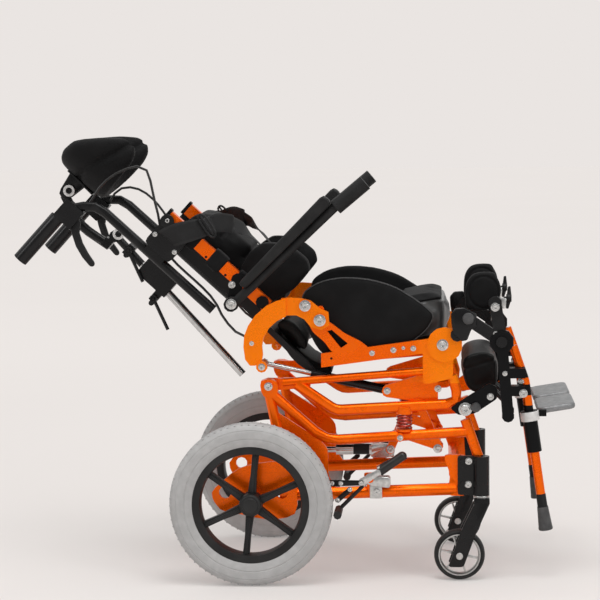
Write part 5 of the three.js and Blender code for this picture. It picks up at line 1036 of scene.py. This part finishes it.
def strap(name, route, widths, ways, thick=1.8):
    """Flat webbing along a route: each place has a width and the way its width runs; a UV map follows the weave."""
    fine = []
    last = len(route) - 1
    for index in range(last):
        for share in range(8):
            t = share / 8
            a, b, c, d = (route[min(max(index + step, 0), last)] for step in (-1, 0, 1, 2))
            spot = 0.5 * (2 * b + (c - a) * t + (2 * a - 5 * b + 4 * c - d) * t * t + (3 * b - a - 3 * c + d) * t ** 3)
            way = ways[index].lerp(ways[index + 1], t).normalized()
            fine.append((spot, way, widths[index] * (1 - t) + widths[index + 1] * t))
    fine.append((route[-1], ways[-1].normalized(), widths[-1]))
    points, places, walked = [], [], 0.0
    for index, (spot, way, width) in enumerate(fine):
        if index:
            walked += (spot - fine[index - 1][0]).length
        ahead_way = (fine[min(index + 1, len(fine) - 1)][0] - fine[max(index - 1, 0)][0]).normalized()
        way = (way - ahead_way * way.dot(ahead_way)).normalized()
        for share in (-0.5, -0.25, 0, 0.25, 0.5):
            points.append(spot + way * width / 1000 * share)
            places.append((width / 1000 * share, walked))
    faces = [[5 * i + j, 5 * i + j + 1, 5 * i + j + 6, 5 * i + j + 5] for i in range(len(fine) - 1) for j in range(4)]
    piece = drawn_up(name, points, [], faces)
    layer = piece.data.uv_layers.new(name="weave")
    for loop in piece.data.loops:
        layer.data[loop.index].uv = places[loop.vertex_index]
    shaped(piece, "SOLIDIFY", thickness=thick / 1000, offset=0)
    shaped(piece, "SUBSURF", levels=1, render_levels=1)
    smoothed(piece, 60)
    return piece


flat_way = (on_back(-8, 0, 46) - on_back(0, 0, 0)).normalized()
sideways = Vector((0, 1, 0))
loop_way = (on_back(10, 0, 42) - on_back(0, 0, 0)).normalized()
stand_way = on_back(10, 0, 13) - on_back(0, 0, 0)
harness = strap("harness_strap_right", [
    on_back(-84, -174, 324), on_back(-78, -179.5, 321), on_back(-62, -182.5, 313), on_back(-42, -182.5, 300),
    on_back(-26, -181, 289), on_back(-14, -176, 281),
    on_back(-2, -163, 275), on_back(9, -143, 265), on_back(18, -122, 248), on_back(23, -108, 229),
    on_back(23, -97, 203), on_back(20, -88, 172), on_back(19, -82, 140), on_back(18, -78, 112)],
    [44] * 3 + [42, 38, 34] + [36, 38, 38, 36] + [34] * 4,
    [flat_way] * 4 + [loop_way, loop_way] + [stand_way] * 3
    + [(stand_way * 100 + sideways * 1.2).normalized(), sideways + back_rise * 0.35] + [sideways] * 3)
coated(harness, webbing)
paired(harness, "back")
wire = [on_back(x, -184.6, z) for x, z in (
    (-12, 303), (-4, 309), (2, 300), (-4, 279), (-10, 257), (-19, 255), (-23, 264), (-18, 285), (-12, 303))]
buckle = rod("harness_buckle_right", wire, 2.1, bend=True, sides=3)
bar = rod("buckle_bar", [on_back(-6, -184.6, 304), on_back(-16, -184.6, 260)], 1.9, sides=3)
paired(coated(joined("harness_buckle_right", [buckle, bar]), nylon), "back")
catch = layered("harness_catch_right", [(y, z) for y, z in rounded([(-95, 116), (-61, 116), (-61, 84), (-95, 84)], 5)],
                lambda y, x, z: on_back(x, y, z), [(17, 3), (17.5, 0.6), (20, 0), (24, 0.4), (25.5, 2.5)])
smoothed(catch, 50)
paired(coated(catch, nylon), "back")

# The fasteners
# Zinc-plated hexagon bolts with a socket and a washer hold the joints. Each sits on the surface under its place.
zinc, place = finish("zinc_bolt", {"Metallic": 1.0})
feed(zinc, Base_Color=place.noise(240).step(0.3, 0.8).blend((0.50, 0.50, 0.49), (0.74, 0.74, 0.73)),
     Roughness=0.20 + 0.12 * place.noise(500), Normal=place.noise(1300).bump(0.08, 0.0002))
bpy.ops.object.select_all(action="DESELECT")
bpy.ops.mesh.primitive_cylinder_add(vertices=6, radius=1, depth=0.72, rotation=(math.pi / 2, 0, 0))
bolt = bpy.context.object
bpy.ops.object.transform_apply(location=True, rotation=True, scale=True)
bolt.data.transform(Matrix.Translation((0, -0.5, 0)))
bpy.ops.object.mode_set(mode="EDIT")
bpy.ops.mesh.select_mode(type="FACE")
bpy.ops.mesh.select_all(action="DESELECT")
bpy.ops.object.mode_set(mode="OBJECT")
for face in bolt.data.polygons:
    face.select = face.normal.y < -0.9
bpy.ops.object.mode_set(mode="EDIT")
bpy.ops.mesh.inset(thickness=0.12)
bpy.ops.transform.translate(value=(0, -0.1, 0))
bpy.ops.mesh.inset(thickness=0.34)
bpy.ops.mesh.extrude_region_move(TRANSFORM_OT_translate={"value": (0, 0.4, 0)})
bpy.ops.object.mode_set(mode="OBJECT")
shaped(bolt, "BEVEL", width=0.05, segments=2, limit_method="ANGLE", angle_limit=math.radians(30))
smoothed(bolt, 30)
bpy.ops.object.select_all(action="DESELECT")
bpy.ops.mesh.primitive_cylinder_add(vertices=24, radius=1.36, depth=0.2, rotation=(math.pi / 2, 0, 0),
                                    location=(0, -0.08, 0))
washer = bpy.context.object
bpy.ops.object.transform_apply(location=True, rotation=True, scale=True)
shaped(washer, "BEVEL", width=0.05, segments=2, limit_method="ANGLE", angle_limit=math.radians(30))
smoothed(washer, 30)
bolt = joined("bolt", [bolt, washer])


def bolted(name, body, spots, finish_of=zinc):
    """Bolts at places (the node under it, forward, up, radius in millimetres), found from outside."""
    made = []
    for stem, x, z, radius in spots:
        under = nodes[f"{stem}_right" if f"{stem}_right" in nodes else stem]
        start = at(x, -300, z)
        found, surface, normal, _ = under.ray_cast(start, Vector((0, 1, 0)))
        if not found:
            print("no surface under a bolt", name, stem, x, z)
            continue
        made.append(again(bolt, Matrix.Translation(surface) @ Matrix.Rotation(x, 4, "Y")
                          @ Matrix.Scale(radius / 1000, 4)))
    piece = coated(joined(name, made), finish_of)
    return paired(piece, body)


bolted("base_bolts_right", "base", [
    ("base_side", 31, 375, 6), ("caster_housing", 415, 230, 5), ("caster_housing", 414, 185, 5)])
bolted("crank_bolts_right", "tilt_crank", [
    ("tilt_crank", 284, 275, 4.2), ("tilt_lift_link", 356, 247, 6.5), ("tilt_crank", 262, 227, 6)])
bolted("seat_bolts_right", "seat", [
    ("seat_side", 132, 504, 8.6), ("seat_side", 231, 439, 4), ("seat_side", 272, 445, 4.2),
    ("seat_side", 291, 449, 2.6), ("seat_side", 310, 448, 4), ("seat_side", 366, 455, 8.2),
    ("seat_side", 457, 355, 5), ("seat_side", 409, 331, 9.6), ("seat_side", 357, 367, 5),
    ("seat_side", 259, 363, 5)])
bolted("hook_bolts_right", "back", [
    ("hook_plate", 104, 532, 8.2), ("hook_plate", 1, 460, 3.4), ("hook_plate", 20, 415, 5),
    ("back_cane", -37, 572, 5.2), ("back_cane", -35, 538, 7.6), ("back_cane", 3, 537, 5.4),
    ("push_handle", -147, 635, 3.6), ("push_handle", -184, 670, 3.6), ("push_handle", -159, 696, 4.6)])
bolted("hanger_bolts_right", "seat", [("leg_hanger", 467, 477, 3.8), ("leg_hanger", 466, 528, 6.2),
                                      ("leg_hanger", 489, 441, 3.8)])
bolted("leg_bolts_right", "legs", [("leg_tube", 484, 402, 3.6), ("leg_tube", 516, 384, 5.6),
                                   ("leg_tube", 519, 364, 6)])
disc = turned("cane_disc_right", [(0, 0), (12.6, 0), (13.2, -0.6), (13.2, -2.8), (12.6, -3.4), (0, -3.4)],
              on_back(-56, -180.6, 344), 40)
paired(coated(disc, satin), "back")
cap = turned("cap", [(0, 0), (11.5, 0), (11.5, -3), (10, -6), (5, -7.4), (0, -7.6)], at(415, -194, 506.5), 32)
knob = turned("strut_knob", [(0, 0), (9, 0), (9.6, -6), (8, -11), (0, -12)], at(429, -177.9, 335), 32)
grey_nylon, place = finish("grey_nylon", {"Specular IOR Level": 0.4})
feed(grey_nylon, Base_Color=place.noise(80).step(0.3, 0.8).blend((0.045, 0.045, 0.046), (0.075, 0.075, 0.076)),
     Roughness=0.4 + 0.14 * place.noise(900), Normal=place.noise(1400).bump(0.15, 0.0003))
paired(coated(joined("hanger_caps_right", [cap, knob]), grey_nylon), "seat")
clamp = plate_of("hanger_clamp_right", [at(x, -193.6, z) for x, z in (
    (383, 497), (382, 516), (391, 526), (408, 527), (431, 516), (431, 490), (421, 486), (413, 465), (402, 463),
    (386, 477))], 9, 0.003)
paired(coated(clamp, satin), "seat")

# The headrest's rings
# Two broad white washers under dark nuts hold the headrest's arm at its ends.
pale, place = finish("pale_steel", {"Metallic": 0.3})
feed(pale, Base_Color=place.noise(120).step(0.3, 0.8).blend((0.62, 0.61, 0.60), (0.74, 0.73, 0.72)),
     Roughness=0.35 + 0.12 * place.noise(400))
for name, x, z in (("headrest_ring_upper", -376, 749), ("headrest_ring_lower", -278, 662)):
    washer = turned(name, [(6.4, 0), (11, 0), (11.6, -0.6), (11.6, -3.4), (11, -4), (6.4, -4)], at(x, -21, z), 40)
    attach(coated(washer, pale), "headrest_arm")
    nut = again(bolt, Matrix.Translation(at(x, -23, z)) @ Matrix.Scale(0.0056, 4))
    nut.name = name.replace("ring", "nut")
    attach(coated(nut, satin), "headrest_arm")

# The release levers
# Curved, tapered levers of black nylon under the grips. Each turns on a pin in its housing.
lever = plate_of("release_lever_right", [at(x, -165, z) for x, z in (
    (-348, 699), (-342, 706), (-334, 704), (-330, 691), (-333, 673), (-327, 653), (-316, 632), (-304.6, 615),
    (-304.8, 609), (-309, 606.4), (-314, 608), (-328, 625), (-340, 646), (-347, 668), (-351, 685))], 10, 0.0028)
paired(coated(lever, nylon), "brake_lever_{}", "brake_lever_{}")

# The wheel locks' fittings
# Each lock's lever turns in a bright block clamped to the lower tube by a bolted band. Black links with rivets
# join it to the shoe, and a black rubber grip is pushed on the lever.
block = plate_of("block", [at(x, -192, z) for x, z in ((226, 184), (262, 180), (265, 183), (265, 199), (262, 202),
                                                       (228, 202))], 22, 0.0025)
band = plate_of("band", [at(x, -182, z) for x, z in ((225, 158), (249, 158), (249, 190), (225, 190))], 6, 0.0012)
lock_block = coated(joined("lock_block_right", [block, band]), cast)
paired(lock_block, "base")
grip = rod("lock_grip_right", [at(244, -187, 211), at(252, -187, 216.4), at(268, -187, 227.6), at(288, -187, 241.5)], 9)
tip = turned("grip_tip", [(0, 9), (4.5, 7.8), (7.8, 4.5), (9, 0), (7.8, -4.5), (4.5, -7.8), (0, -9)],
             at(288, -187, 241.5), 32)
paired(coated(joined("lock_grip_right", [grip, tip]), cover), "wheel_lock_lever_{}")
arm = plate_of("lock_arm", [at(x, -196, z) for x, z in ((203, 190), (208, 185), (215, 186), (248, 208), (246, 215),
                                                        (240, 216), (206, 198))], 4, 0.001)
arm.name = "lock_arm_right"
paired(coated(arm, cast), "wheel_lock_lever_{}")
links = [plate_of("link", [at(x, -198.5, z) for x, z in ((148, 184), (210, 186), (214, 190), (212, 196), (148, 197))], 3,
                  0.001),
         plate_of("link", [at(x, -201, z) for x, z in ((160, 154), (166, 153), (192, 176), (192, 182), (186, 184),
                                                       (160, 161))], 3, 0.001)]
paired(coated(joined("lock_links_right", links), satin), "base")
rivets = [again(bolt, Matrix.Translation(at(x, side, z)) @ Matrix.Rotation(x, 4, "Y") @ Matrix.Scale(0.0034, 4))
          for x, side, z in ((153, -198.5, 190.5), (170, -198.5, 190.5), (209, -198.5, 191), (188, -201, 179),
                             (163.5, -201, 158.5))]
rivets.append(again(bolt, Matrix.Translation(at(238, -182, 172)) @ Matrix.Scale(0.005, 4)))
paired(coated(joined("lock_rivets_right", rivets), zinc), "base")
bpy.data.objects.remove(bolt)

# The leg tubes' collars and tips
# A bright collar locks each black sleeve, and a flared rubber tip is pushed on the end of the tube that slides in it.
stay = (at(541.5, 0, 248) - at(531, 0, 322)).normalized()
lean = Matrix.Rotation(math.atan2(stay.x, -stay.z), 4, "Y").inverted()
upright = Matrix.Rotation(math.radians(90), 4, "X")
collar = turned("sleeve_collar_right", [(15, -9), (17.4, -9), (17.9, -8), (17.9, 8), (17.4, 9), (15, 9)],
                Vector((0, 0, 0)), 40)
collar.data.transform(Matrix.Translation(at(532.2, -170, 317)) @ lean @ upright)
paired(coated(collar, pale), "legs")
neck = turned("neck", [(0, 0), (8.8, 0), (9.4, -2), (9.6, -23), (10.4, -26), (0, -26)], Vector((0, 0, 0)), 40)
neck.data.transform(Matrix.Translation(at(541.5, -170, 248) + stay * 0.0825) @ lean @ upright)
neck.name = "stay_neck_right"
paired(coated(neck, nylon), "stabiliser_foot_{}")
tip = turned("stay_tip_right", [(0, 0), (9.6, 0), (10.6, -1), (13.2, -38), (13.9, -42), (13.4, -45), (12, -46), (0, -46)],
             Vector((0, 0, 0)), 48)
tip.data.transform(Matrix.Translation(at(541.5, -170, 248) + stay * 0.1075) @ lean @ upright)
paired(coated(tip, grey_nylon), "stabiliser_foot_{}", "stabiliser_foot_{}")
pole = rod("stay_tube_right", [at(541.5, -170, 248) - stay * 0.058, at(541.5, -170, 248) + stay * 0.083], 8.9)
paired(coated(pole, orange), "stabiliser_foot_{}")
